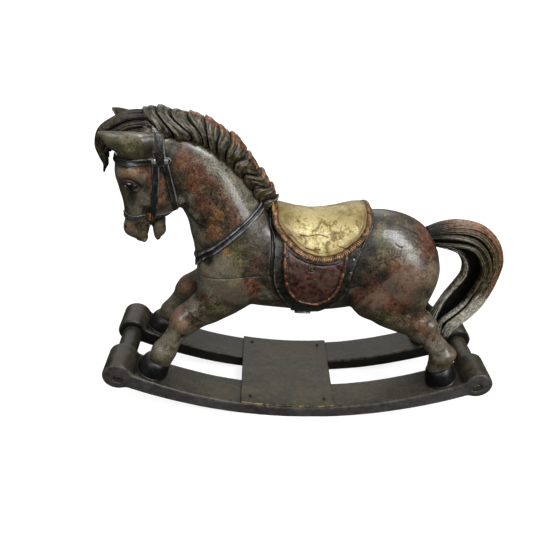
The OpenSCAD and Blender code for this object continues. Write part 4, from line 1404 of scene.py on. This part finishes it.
def burgundy_leather():
    """The flap's dark red leather, faded to brown in patches, with painted shade along the inside of its welt
    and under the seat's edge.
    """
    p = Paint("burgundy_leather")
    broad, patchy, grit = p.noise(14, 4, 0.6, bend=0.8), p.noise(4, 5, 0.68), p.noise(0.9, 3, 0.7)
    colour = p.ramp(patchy, (0.34, (0.008, 0.004, 0.003)), (0.50, (0.034, 0.012, 0.009)),
                    (0.64, (0.085, 0.028, 0.022)))
    colour = p.stain(colour, p.span(broad, 0.48, 0.60), 0.65, (0.062, 0.040, 0.024))
    colour = p.darker(colour, p.span(broad, 0.46, 0.36), 0.55)
    colour = p.stain(colour, p.span(grit, 0.62, 0.74), 0.35, (0.20, 0.13, 0.08))
    # Painted shade along the inside of the welt and under the seat's edge.
    colour = p.darker(colour, p.span(p.number("edge"), 5.6, 3.4), 0.75)
    return p.finish(colour, p.span(patchy, 0.3, 0.7, (0.24, 0.42)), p.plus(grit, patchy), 0.3)


def worn_welt():
    """The flap's raised edge, rubbed from dark leather to copper."""
    p = Paint("worn_welt")
    patchy, grit = p.noise(4, 4, 0.7), p.noise(0.9, 3, 0.7)
    colour = p.ramp(patchy, (0.40, (0.012, 0.007, 0.005)), (0.52, (0.090, 0.036, 0.015)),
                    (0.66, (0.300, 0.145, 0.066)))
    colour = p.darker(colour, p.span(grit, 0.47, 0.38), 0.7)
    return p.finish(colour, p.span(patchy, 0.3, 0.7, (0.28, 0.46)), grit, 0.25)


def strap_paint(name, wear, glint, colour_low=(0.004, 0.004, 0.004), colour_high=(0.014, 0.013, 0.011)):
    """Black strap leather whose edges are rubbed to silver grey and carry a painted glint."""
    p = Paint(name)
    patchy, grit = p.noise(4, 4, 0.66), p.noise(0.8, 3, 0.7)
    edge, height = p.number("edge"), p.number("height")
    colour = p.ramp(patchy, (0.36, colour_low), (0.64, colour_high))
    # The edges' silver grey: rubbed leather and a painted glint.
    rubbed = p.times(p.span(edge, 0.85, 0.55), p.span(height, 0.5, 1.1))
    rubbed = p.times(rubbed, p.span(p.noise(22, 2, 0.5), 0.44, 0.54))
    colour = p.mix(p.times(rubbed, wear), colour, glint)
    return p.finish(colour, p.span(patchy, 0.3, 0.7, (0.18, 0.34)), p.plus(grit, patchy), 0.10, coat=0.1)


def collar_paint():
    """The breast collar: black leather with two grey ribs, rubbed and carrying a painted glint, and a dark
    edge.
    """
    p = Paint("collar_leather")
    patchy, grit = p.noise(5, 4, 0.66), p.noise(0.8, 3, 0.7)
    edge = p.number("edge")
    colour = p.ramp(patchy, (0.36, (0.008, 0.008, 0.008)), (0.52, (0.024, 0.024, 0.023)),
                    (0.68, (0.075, 0.075, 0.075)))
    colour = p.darker(colour, p.span(edge, 1.7, 2.4), 0.85)
    # The ribs' grey: rubbed leather and a painted glint.
    glint = p.times(p.span(edge, 1.4, 0.8), p.span(patchy, 0.38, 0.58, (0.15, 0.7)))
    colour = p.mix(glint, colour, (0.22, 0.22, 0.22))
    colour = p.darker(colour, p.span(edge, 0.5, 0.1), 0.8)
    return p.finish(colour, p.span(patchy, 0.3, 0.7, (0.18, 0.32)), p.plus(grit, patchy), 0.1, coat=0.1)


def metal_paint(name, low, high, shine, tarnish=(0.012, 0.010, 0.008)):
    """Tarnished metal, darkened with tarnish in fine random flecks."""
    p = Paint(name)
    patchy, grit = p.noise(2.2, 4, 0.68), p.noise(0.6, 3, 0.7)
    colour = p.ramp(patchy, (0.34, low), (0.64, high))
    colour = p.mix(p.span(grit, 0.46, 0.34), colour, tarnish)
    return p.finish(colour, p.span(patchy, 0.3, 0.7, shine), grit, 0.12, metal=0.75)


def board_paint(name, low, middle, high, worn, worn_edge=0.35, side_grey=0.0, inner_shade=0.0):
    """Charcoal paint over boards, browned in patches and rubbed along the edges."""
    p = Paint(name)
    broad = p.noise(32, 4, 0.6, bend=0.7, stretch=(0.6, 1.0, 1.0))
    patchy = p.noise(6, 5, 0.68, bend=0.4)
    grain = p.noise(1.6, 4, 0.62, stretch=(0.14, 1.0, 1.0))
    grit = p.noise(0.9, 3, 0.7)
    bulge = p.number("bulge")
    tone = p.plus(p.times(broad, 0.5), p.times(patchy, 0.5))
    colour = p.ramp(tone, (0.36, low), (0.50, middle), (0.64, high))
    colour = p.stain(colour, p.span(broad, 0.50, 0.66), 0.45, (0.040, 0.026, 0.015))
    if side_grey:
        outside = p.span(p.math("ABSOLUTE", p.axis("Y")), 54.6, 55.6)
        colour = p.mix(p.times(outside, side_grey), colour,
                       p.ramp(tone, (0.36, (0.020, 0.018, 0.018)), (0.64, (0.062, 0.058, 0.058))))
    if inner_shade:
        colour = p.darker(colour, p.span(p.math("ABSOLUTE", p.axis("Y")), 20.0, 19.3), inner_shade)
    colour = p.darker(colour, p.span(grain, 0.40, 0.32), 0.5)
    rubbed = p.times(p.span(bulge, 0.5, 0.9), p.span(patchy, 0.42, 0.6))
    colour = p.mix(p.times(rubbed, worn_edge), colour, worn)
    # Darker in the hollows: dirt and painted shade.
    colour = p.darker(colour, p.span(bulge, -0.15, -0.6), 0.8)
    colour = p.stain(colour, p.span(grit, 0.64, 0.74), 0.3, (0.09, 0.08, 0.06))
    height = p.plus(p.times(grain, 0.7), p.times(patchy, 0.4))
    return p.finish(colour, p.span(tone, 0.38, 0.62, (0.30, 0.46)), height, 0.28, gloss=0.28)


def hoof_lacquer():
    """Black lacquer, a little rubbed along the rim."""
    p = Paint("hoof_lacquer")
    patchy, grit = p.noise(4, 4, 0.66), p.noise(0.9, 3, 0.7)
    colour = p.ramp(patchy, (0.36, (0.0015, 0.0015, 0.0015)), (0.66, (0.004, 0.004, 0.004)))
    rim = p.span(p.number("rim"), 0.4, 1.0)
    colour = p.mix(p.times(rim, p.span(patchy, 0.44, 0.60, (0.0, 0.15))), colour, (0.05, 0.05, 0.048))
    return p.finish(colour, p.span(patchy, 0.3, 0.7, (0.34, 0.46)), grit, 0.08, gloss=0.3)


def eye_lacquer():
    """Black glass-like eye with a plum iris and a painted highlight, a pale crescent low at its front."""
    p = Paint("eye_lacquer")
    grit = p.noise(0.7, 3, 0.6)
    across = p.minus(p.axis("X"), EYE[0])
    up = p.minus(p.axis("Z"), EYE[2])
    far = p.math("POWER", p.plus(p.math("POWER", p.plus(across, 1.0), 2.0), p.math("POWER", up, 2.0)), 0.5)
    colour = p.ramp(p.times(far, 0.1), (0.26, (0.003, 0.003, 0.003)), (0.34, (0.018, 0.008, 0.009)),
                    (0.42, (0.036, 0.018, 0.017)), (0.50, (0.004, 0.004, 0.004)))
    # A painted highlight: a pale crescent, low at the eye's front.
    ring = p.times(p.span(far, 3.0, 3.4), p.span(far, 5.6, 5.0))
    low_front = p.times(p.span(up, 0.6, -0.6), p.span(across, -0.6, -2.0))
    colour = p.mix(p.times(ring, low_front), colour, (0.55, 0.52, 0.46))
    colour = p.darker(colour, p.span(grit, 0.40, 0.30), 0.4)
    return p.finish(colour, p.span(grit, 0.3, 0.7, (0.10, 0.18)), grit, 0.04, coat=0.3)


def bare_wood(name, low, high):
    """Unpainted turned wood, for the dowels inside."""
    p = Paint(name)
    grain = p.noise(1.2, 4, 0.6, stretch=(1.0, 1.0, 0.15))
    colour = p.ramp(grain, (0.35, low), (0.65, high))
    return p.finish(colour, p.span(grain, 0.3, 0.7, (0.45, 0.65)), grain, 0.1)


# ---------------------------------------------------------------- the horse's own pieces

UPPER_LID_XZ = [(x, z) for x, y, z in UPPER_LID]
LOWER_LID_XZ = [(x, z) for x, y, z in LOWER_LID]
# Paint patches in the side view: x, z and radius of each, by the paint attribute they feed.
PATCHES = {
    "rust": [(-119, 269, 9), (-106, 262, 10), (-87, 255, 11), (-76, 241, 9), (-70, 226, 9),
             (-64, 217, 9), (-109, 246, 7), (-97, 227, 8), (-89, 204, 8), (-58, 157, 9), (-50, 150, 7),
             (108, 208, 12), (90, 145, 13), (52, 147, 9), (116, 117, 9), (-121, 117, 8), (-128, 113, 8),
             (156, 74, 7), (-101, 140, 6), (-163, 254, 4), (-149, 254, 5), (-138, 244, 6),
             (-171, 198, 5), (133, 100, 7), (100, 168, 14), (84, 178, 12), (70, 150, 12), (118, 196, 9),
             (-152, 262, 5), (-140, 232, 6)],
    "plum": [(92, 161, 14), (80, 152, 11), (60, 164, 10), (-48, 178, 10), (-100, 233, 8), (18, 128, 14),
             (-20, 128, 10), (100, 188, 8)],
    "green": [(-71, 187, 13), (-92, 154, 11), (112, 172, 9), (114, 143, 8), (78, 124, 12),
              (-173, 226, 9), (-142, 196, 9), (-158, 214, 8), (-88, 128, 8), (-160, 190, 8),
              (66, 204, 10), (-147, 68, 8), (147, 72, 7), (-75, 165, 12)],
    # pale: pale paint, and a painted highlight along the neck's crest, on the croup and on the forehead
    "pale": [(-99, 276, 9), (-90, 269, 10), (-81, 260, 10), (-73, 250, 10), (-66, 239, 10),
             (-61, 228, 9), (-56, 220, 7), (-116, 232, 6), (-111, 217, 6), (-110, 204, 7),
             (-109, 191, 7), (-105, 178, 7), (-178, 260, 7), (-181, 246, 6), (-40, 145, 8),
             (-110, 128, 7), (-100, 148, 8), (-138, 86, 10), (-143, 76, 7), (136, 92, 8), (143, 80, 8),
             (92, 194, 8), (-132, 99, 6), (-166, 222, 6), (-149, 228, 6), (-156, 218, 5)],
    "ochre": [(-128, 111, 6), (-167, 254, 5), (-158, 256, 4), (-86, 222, 6), (-92, 214, 5),
              (-80, 186, 5)],
    # dark: painted shade along the saddle cloth's edges, low on the belly, above the hooves and behind the
    # head
    "dark": [(-41, 190, 5), (-41, 175, 5), (-41, 160, 5), (-38, 205, 5), (46, 165, 7), (49, 182, 7),
             (55, 198, 7), (-60, 130, 8), (60, 128, 8), (-151, 60, 7), (151, 59, 7), (70, 172, 7),
             (-133, 262, 6), (40, 140, 8), (-128, 272, 5)],
}
# Cracks in the paint and wood, as lines in the side view with a half width in millimetres.
CRACKS = [([(-114, 216), (-106, 209), (-97, 207)], 0.8), ([(-115, 122), (-108, 116), (-99, 111)], 0.3),
          ([(41, 156), (47, 160), (54, 158.5)], 0.5),
          ([(84, 213), (92, 211), (102, 206)], 0.4), ([(76, 203), (82, 199), (88, 200)], 0.4),
          ([(-30, 137), (-24, 133)], 0.6)]
WORMHOLES = [(-91, 235), (-94, 231), (-88, 231), (-71, 221), (-69, 225), (-102, 281), (-84, 264),
             (-80, 259), (92, 171), (101, 166), (85, 143), (95, 132), (-52, 155), (76, 120), (103, 192)]
SHOULDER_JOINT = [(-140, 160), (-112, 160), (-100, 161), (-86, 162.5), (-65, 164.5), (-37, 166)]
NECK_BACK = -37.0
# At its joint a leg's skin is sunk a little under the torso's and runs on beneath it
LEG_SUNK, LEG_LAP = 0.1, 1.2
HEAD_JOINT = (-124, 222)
# The planes of the legs' joints, as a point and a normal, and how far round a leg its part reaches
FORE_JOINT, HIND_JOINT = ((-104, 140), (0.43, 0.90)), ((62, 122), (-0.18, 0.98))
LEG_RIM = 6


def on_side(skin, x, z):
    """The point of the right flank at a place in the side view."""
    return perch(skin, (x, 58, z), (0, -1, 0), 0)[0]


def cut_cracks(skin, sculpt):
    """Cuts the cracks into both sides of a carved surface."""
    for line, width in CRACKS:
        path = [on_side(skin, x, z) for x, z in spline(line, 4)]
        sculpt.rod(path, (0.3 * width, width, 0.3 * width), 0.5, cut=True)


def merge_head(grid, body, head_grid, head):
    """The body's field with the finely carved head set into it, so that the neck runs into the head."""
    low = [f * head_grid.step + 3 for f in head_grid.first]
    high = [(f + n) * head_grid.step - 4 for f, n in zip(head_grid.first, head_grid.shape)]
    part, fine = resample(head_grid, head, low, high, grid.step)
    where = tuple(slice(a - b, a - b + n) for a, b, n in zip(part.first, grid.first, part.shape))
    merged = body.copy()
    merged[where] = np.minimum(merged[where], fine)
    return merged


def head_cut(grid):
    """Below zero in front of the glued joint between neck and head."""
    return np.maximum(plane(grid, HEAD_JOINT, (1, -0.025)), plane(grid, HEAD_JOINT, (1, 0.18)))


def leg_cuts(grid, fore, hind):
    """Below zero in the fore legs and in the hind legs, under their joints with the torso."""
    return [np.maximum(legs - LEG_RIM, plane(grid, *joint))
            for legs, joint in ((fore, FORE_JOINT), (hind, HIND_JOINT))]


def painted(piece, grid, field, points, seam=None):
    """Paint patches, the shade beside the tack, and how far the surface bulges, for the coat's material."""
    x, z = points[:, 0], points[:, 2]
    values = {}
    for name, spots in PATCHES.items():
        cover = sum(np.exp(-((x - cx) ** 2 + (z - cz) ** 2) / r ** 2) for cx, cz, r in spots)
        values[name] = np.minimum(cover, 1.0)
    dark = [values["dark"], np.clip(1.7 - np.abs(LIDS.measure(x, z)[0]) / 0.8, 0, 1.4)]
    dark += [0.9 * np.clip(1 + line.measure(x, z)[0] / reach, 0, 1) for line, reach in COVERED]
    dark += [np.clip(2.4 - np.hypot(x - hole_x, z - hole_z) / 0.7, 0, 1.6) for hole_x, hole_z in WORMHOLES]
    dark += [np.clip(1.2 + Line(line, width, 4).measure(x, z)[0] / 0.6, 0, 1.3) for line, width in CRACKS]
    if seam is not None:
        dark.append(np.clip(1.3 - np.abs(grid.sample(seam, points)) / 0.9, 0, 1))
    values["dark"] = np.maximum.reduce(dark)
    broad, fine = (curvature(grid, field, points, r) for r in (4.0, 1.4))
    return keep(piece, bulge=np.clip(0.7 * broad + 0.4 * fine, -1, 1), **values)


LIDS = Line(UPPER_LID_XZ + LOWER_LID_XZ[-2:0:-1], per=4)
# Tack beside which the coat is painted in shade, each with how far the painted shade reaches.
COVERED = [(Line(CLOTH_EDGE, per=5), 4.0), (Line(SEAT_EDGE, per=5), 5.0), (Line(COLLAR, 3.0, 4), 3.0),
           (Line(THROAT, 2.5, 4), 2.5)]


def horse(coat):
    """Carves the horse, cuts it where its glued parts meet and hands back the skins of body and head."""
    grid, body, fore, hind = carve_horse()
    head_grid, head = carve_head()
    sculpt = Sculpt(grid, body)
    cut_cracks(Skin(grid, body.copy()), sculpt)
    body = merge_head(grid, sculpt.field, head_grid, head)
    skin = Skin(grid, body)
    joint_z = np.interp(grid.x, *zip(*SHOULDER_JOINT))
    neck_cut = np.maximum(joint_z - grid.z + grid.y * 0, grid.x - NECK_BACK)
    fore_cut, hind_cut = leg_cuts(grid, fore, hind)
    right, left = -grid.y + 0 * body, grid.y + 0 * body
    parts = {
        "torso": np.maximum(-neck_cut, -np.minimum(fore_cut, hind_cut)),
        "neck": np.maximum(neck_cut, -head_cut(grid)),
        "leg_fore_left": np.maximum(fore_cut, left), "leg_fore_right": np.maximum(fore_cut, right),
        "leg_hind_left": np.maximum(hind_cut, left), "leg_hind_right": np.maximum(hind_cut, right),
    }
    seam = neck_cut.astype(np.float32)
    for name, region in parts.items():
        region = region.astype(np.float32)
        leg = name.startswith("leg")
        if leg:
            field = np.maximum(body + LEG_SUNK * ease((region + 3) / 2), region - LEG_LAP)
        else:
            field = overlap(body, region, 0.5)
        points, quads = grid.mesh(field)
        painted(add_piece(name + "_carved", points, quads, coat, (name,)), grid, body, points,
                None if leg else seam)
    field = overlap(head, head_cut(head_grid).astype(np.float32), 0.8)
    points, quads = head_grid.mesh(field)
    painted(add_piece("head_carved", points, quads, coat, ("head",)), head_grid, head, points)
    return skin, Skin(head_grid, head)


# ---------------------------------------------------------------- small fittings

# Turned profiles, as radius and height from the foot up
BUTTON = [(2.0, -1.9), (3.1, -1.6), (3.1, 0.4), (2.9, 0.9), (2.4, 1.0), (2.0, 0.65), (1.7, 0.7), (1.5, 1.1),
          (1.0, 1.5), (0.4, 1.6)]
RIVET = [(0.8, -1.3), (1.4, -1.2), (1.45, 0.0), (1.25, 0.5), (0.8, 0.85), (0.3, 1.0)]
ROSETTE = [(1.2, -1.6), (2.1, -1.4), (2.2, 0.0), (2.0, 0.7), (1.5, 1.0), (1.1, 0.9), (0.7, 1.4), (0.3, 1.5)]
# The bit's ring and the rosette in it: place in the side view, how far it stands out, ring radius and wire
RING_PLACE, RING_RISE, RING_RADIUS, RING_WIRE = (-149, 212), 1.8, 3.7, 0.95


def fittings(body_skin, head_skin, metals):
    """Flap buttons, cloth rivets and bit rings on both sides, each seated square to the surface."""
    buttons, rivets, rings = Bundle(), Bundle(), Bundle()

    def turned(bundle, skin, place, start, rise, profile, sides):
        x, z = place
        spot, out = perch(skin, (x, side * start, z), (0, -side, 0), rise)
        points, quads = lathe(profile, sides)
        bundle.add(stand(points, spot, out), quads)
        return spot, out

    for side in (-1, 1):
        turned(buttons, body_skin, FLAP_BUTTON, 58, FLAP_RISE, BUTTON, 32)
        for place in RIVETS:
            turned(rivets, body_skin, place, 58, CLOTH_RISE, RIVET, 20)
        spot, out = turned(rings, head_skin, RING_PLACE, 28, RING_RISE, ROSETTE, 28)
        turn = np.linspace(0, 2 * math.pi, 40, endpoint=False)
        across = np.cross(out, (0, 0, 1.0))
        across /= np.linalg.norm(across)
        up = np.cross(across, out)
        loop = spot + RING_RADIUS * (np.cos(turn)[:, None] * across + np.sin(turn)[:, None] * up)
        rings.add(*closed_tube(loop, RING_WIRE, 12))
    buttons.piece("flap_buttons_turned", metals["bronze"], "aged_brass", ("flap_buttons",))
    rivets.piece("cloth_rivets_domed", metals["steel"], "aged_brass", ("cloth_rivets",))
    rings.piece("bit_rings_cast", metals["brass"], "aged_brass", ("bit_rings",))


def closed_tube(path, radius, sides):
    """A closed ring of wire along a path."""
    path = np.asarray(path, float)
    run = np.roll(path, -1, 0) - np.roll(path, 1, 0)
    run /= np.linalg.norm(run, axis=1)[:, None]
    centre = path.mean(0)
    out = path - centre
    out -= run * (out * run).sum(1)[:, None]
    out /= np.linalg.norm(out, axis=1)[:, None]
    up = np.cross(run, out)
    t = np.linspace(0, 2 * math.pi, sides, endpoint=False)
    points = (path[:, None, :] + radius * np.cos(t)[None, :, None] * out[:, None, :]
              + radius * np.sin(t)[None, :, None] * up[:, None, :])
    quads = np.array(tube_quads(len(path), sides, closed=True))
    return points.reshape(-1, 3), quads


def buckle(skin, metal):
    """The girth's buckle, under the belly on the left: a rounded frame and its prong."""
    spot, out = perch(skin, (-1, -17, 92), (0, 0, 1), CLOTH_RISE + 0.9)
    along = np.array([1.0, 0, 0])
    around = np.cross(out, along)
    bundle = Bundle()
    half_x, half_y, corner, wire = 7.0, 5.0, 2.0, 1.15
    frame_line = []
    for cx, cy, start in ((1, 1, 0), (-1, 1, 90), (-1, -1, 180), (1, -1, 270)):
        for a in np.radians(start + np.array([0, 30, 60, 90])):
            frame_line.append(((half_x - corner) * cx + corner * math.cos(a),
                               (half_y - corner) * cy + corner * math.sin(a)))
    path = [spot + along * u + around * v for u, v in frame_line]
    bundle.add(*closed_tube(path, wire, 10))
    prong = [spot + along * u + around * 0.3 * math.sin(u) + out * 0.5 for u in np.linspace(-7.4, 7.6, 16)]
    lock(bundle, prong, np.tile(out, (16, 1)), 0.8, 0.8, 0.5, ridges=1)
    return bundle.piece("girth_buckle_cast", metal, "aged_brass", ("girth_buckle",))


# ---------------------------------------------------------------- the whole horse

def build():
    """Makes the materials, then every piece, and finishes the CAD pieces that stay inside."""
    coat, hair = coat_paint(), hair_paint()
    charcoal = ((0.008, 0.008, 0.005), (0.022, 0.020, 0.012), (0.050, 0.046, 0.029), (0.10, 0.09, 0.07))
    rocker = board_paint("rocker_paint", *charcoal, worn_edge=0.25, side_grey=0.85, inner_shade=0.85)
    rod = board_paint("rod_paint", *charcoal, worn_edge=0.25)
    plate = board_paint("board_paint", (0.010, 0.010, 0.005), (0.028, 0.026, 0.014), (0.064, 0.058, 0.034),
                        (0.30, 0.20, 0.08), worn_edge=0.75)
    strap_leather = strap_paint("strap_leather", 0.45, (0.22, 0.22, 0.21))
    worn_leather = strap_paint("nose_strap_leather", 0.3, (0.13, 0.125, 0.11), (0.010, 0.010, 0.009),
                               (0.055, 0.052, 0.044))
    metals = {"brass": metal_paint("aged_brass", (0.16, 0.07, 0.03), (0.50, 0.26, 0.12), (0.28, 0.45)),
              "bronze": metal_paint("dark_bronze", (0.02, 0.012, 0.008), (0.15, 0.10, 0.07), (0.28, 0.45)),
              "steel": metal_paint("tarnished_silver", (0.10, 0.10, 0.10), (0.42, 0.42, 0.41), (0.24, 0.40))}
    skin, head_skin = horse(coat)
    mane(hair)
    forelock(hair)
    tail(hair)
    saddle_cloth(skin, hide_paint())
    seat_pad(skin, gold_leaf())
    seat_rope(skin, copper_trim())
    flaps(skin, burgundy_leather(), worn_welt())
    collar(skin, collar_paint())
    bridle(head_skin, strap_leather, worn_leather, metals["steel"])
    fittings(skin, head_skin, metals)
    buckle(skin, metals["steel"])
    ears(coat)
    eyes(eye_lacquer())
    rockers(rocker)
    rods(rod)
    footboard(plate)
    hooves(hoof_lacquer())
    nails(metal_paint("worn_steel", (0.006, 0.005, 0.004), (0.026, 0.023, 0.018), (0.30, 0.50)))
    dowel = bare_wood("bare_wood", (0.32, 0.20, 0.10), (0.55, 0.38, 0.21))
    screw = metal_paint("screw_steel", (0.16, 0.15, 0.14), (0.42, 0.41, 0.39), (0.25, 0.45))
    for name, finish in (("leg_dowels", dowel), ("neck_dowels", dowel), ("tail_dowel", dowel),
                         ("hoof_screws", screw)):
        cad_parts[name].data.materials.clear()
        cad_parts[name].data.materials.append(finish)


build()


# ---------------------------------------------------------------- stage

def camera():
    """The photograph's viewpoint: from the horse's left, about 32 degrees above it, turned a little."""
    azimuth, elevation, roll = math.radians(-3.5), math.radians(31.95), math.radians(3.86)
    distance, target = 0.5552, Vector((-0.0251, 0.0, 0.1388))
    back = Vector((math.sin(azimuth) * math.cos(elevation), -math.cos(azimuth) * math.cos(elevation),
                   math.sin(elevation)))
    right = Vector((math.cos(azimuth), math.sin(azimuth), 0.0))
    up = back.cross(right)
    c, s = math.cos(roll), math.sin(roll)
    right, up = c * right + s * up, c * up - s * right
    data = bpy.data.cameras.new("camera")
    data.sensor_width = 36.0
    data.lens = 34.71
    data.clip_start = 0.01
    eye = bpy.data.objects.new("camera", data)
    place = Matrix((right, up, back)).transposed().to_4x4()
    place.translation = target + back * distance
    eye.matrix_world = place
    bpy.context.scene.collection.objects.link(eye)
    bpy.context.scene.camera = eye


def lamp(name, kind, place, power, **settings):
    """A light aimed at the horse's middle."""
    data = bpy.data.lights.new(name, kind)
    data.energy = power
    for key, value in settings.items():
        setattr(data, key, value)
    made = bpy.data.objects.new(name, data)
    made.location = place
    made.rotation_euler = (Vector((0, 0, 0.14)) - Vector(place)).to_track_quat("-Z", "Y").to_euler()
    bpy.context.scene.collection.objects.link(made)


def sky():
    """A white room that is brightest overhead, so that the underside of the horse stays dark."""
    world = bpy.data.worlds.new("studio")
    world.use_nodes = True
    nodes, links = world.node_tree.nodes, world.node_tree.links
    place = nodes.new("ShaderNodeTexCoord")
    parts = nodes.new("ShaderNodeSeparateXYZ")
    shade = nodes.new("ShaderNodeValToRGB")
    links.new(place.outputs["Generated"], parts.inputs[0])
    links.new(parts.outputs["Z"], shade.inputs["Fac"])
    spots = shade.color_ramp.elements
    for spot, (at, grey) in zip((spots[0], spots[1], spots.new(0.3)),
                                ((0.0, 0.05), (1.0, 0.66), (0.35, 0.16))):
        spot.position = at
        spot.color = (grey, grey, grey, 1)
    links.new(shade.outputs["Color"], nodes["Background"].inputs["Color"])
    nodes["Background"].inputs["Strength"].default_value = 1.0
    bpy.context.scene.world = world


def paper(name, corners, faces, grey, glow):
    """A pale sheet that also glows, so that it reads as white paper, and casts no light on the horse."""
    paint = bpy.data.materials.new(name)
    paint.use_nodes = True
    shader = paint.node_tree.nodes["Principled BSDF"]
    shader.inputs["Base Color"].default_value = (grey, grey, grey, 1)
    shader.inputs["Roughness"].default_value = 0.8
    shader.inputs["Emission Color"].default_value = (1, 1, 1, 1)
    shader.inputs["Emission Strength"].default_value = glow
    mesh = bpy.data.meshes.new(name)
    mesh.from_pydata(corners, [], faces)
    mesh.materials.append(paint)
    sheet = bpy.data.objects.new(name, mesh)
    bpy.context.scene.collection.objects.link(sheet)
    sheet.visible_diffuse = sheet.visible_glossy = False
    return sheet


def studio():
    """A white floor and walls, a soft sun from the upper right with one that fills from behind, two lamps."""
    sky()
    bpy.context.scene.view_settings.view_transform = "Standard"
    square = ((-1, -1), (1, -1), (1, 1), (-1, 1))
    paper("floor", [(40 * x, 40 * y, 0) for x, y in square], [(0, 1, 2, 3)], 0.3, 0.80)
    walls = [(12 * x, 12 * y, z) for z in (-1, 12) for x, y in square]
    sides = [(i, i + 4, (i + 1) % 4 + 4, (i + 1) % 4) for i in range(4)]
    backdrop = paper("backdrop", walls, sides, 0.3, 1.0)
    backdrop.visible_shadow = False
    lamp("key", "SUN", (0.4, -0.5, 1.0), 2.7, angle=math.radians(24))
    lamp("fill", "SUN", (-0.1, 0.9, 0.7), 0.95, angle=math.radians(60))
    lamp("window", "AREA", (-0.55, -0.9, 0.75), 4, shape="DISK", size=0.5)
    lamp("lamp", "AREA", (0.75, -0.95, 0.60), 7, shape="DISK", size=0.5)


camera()
studio()
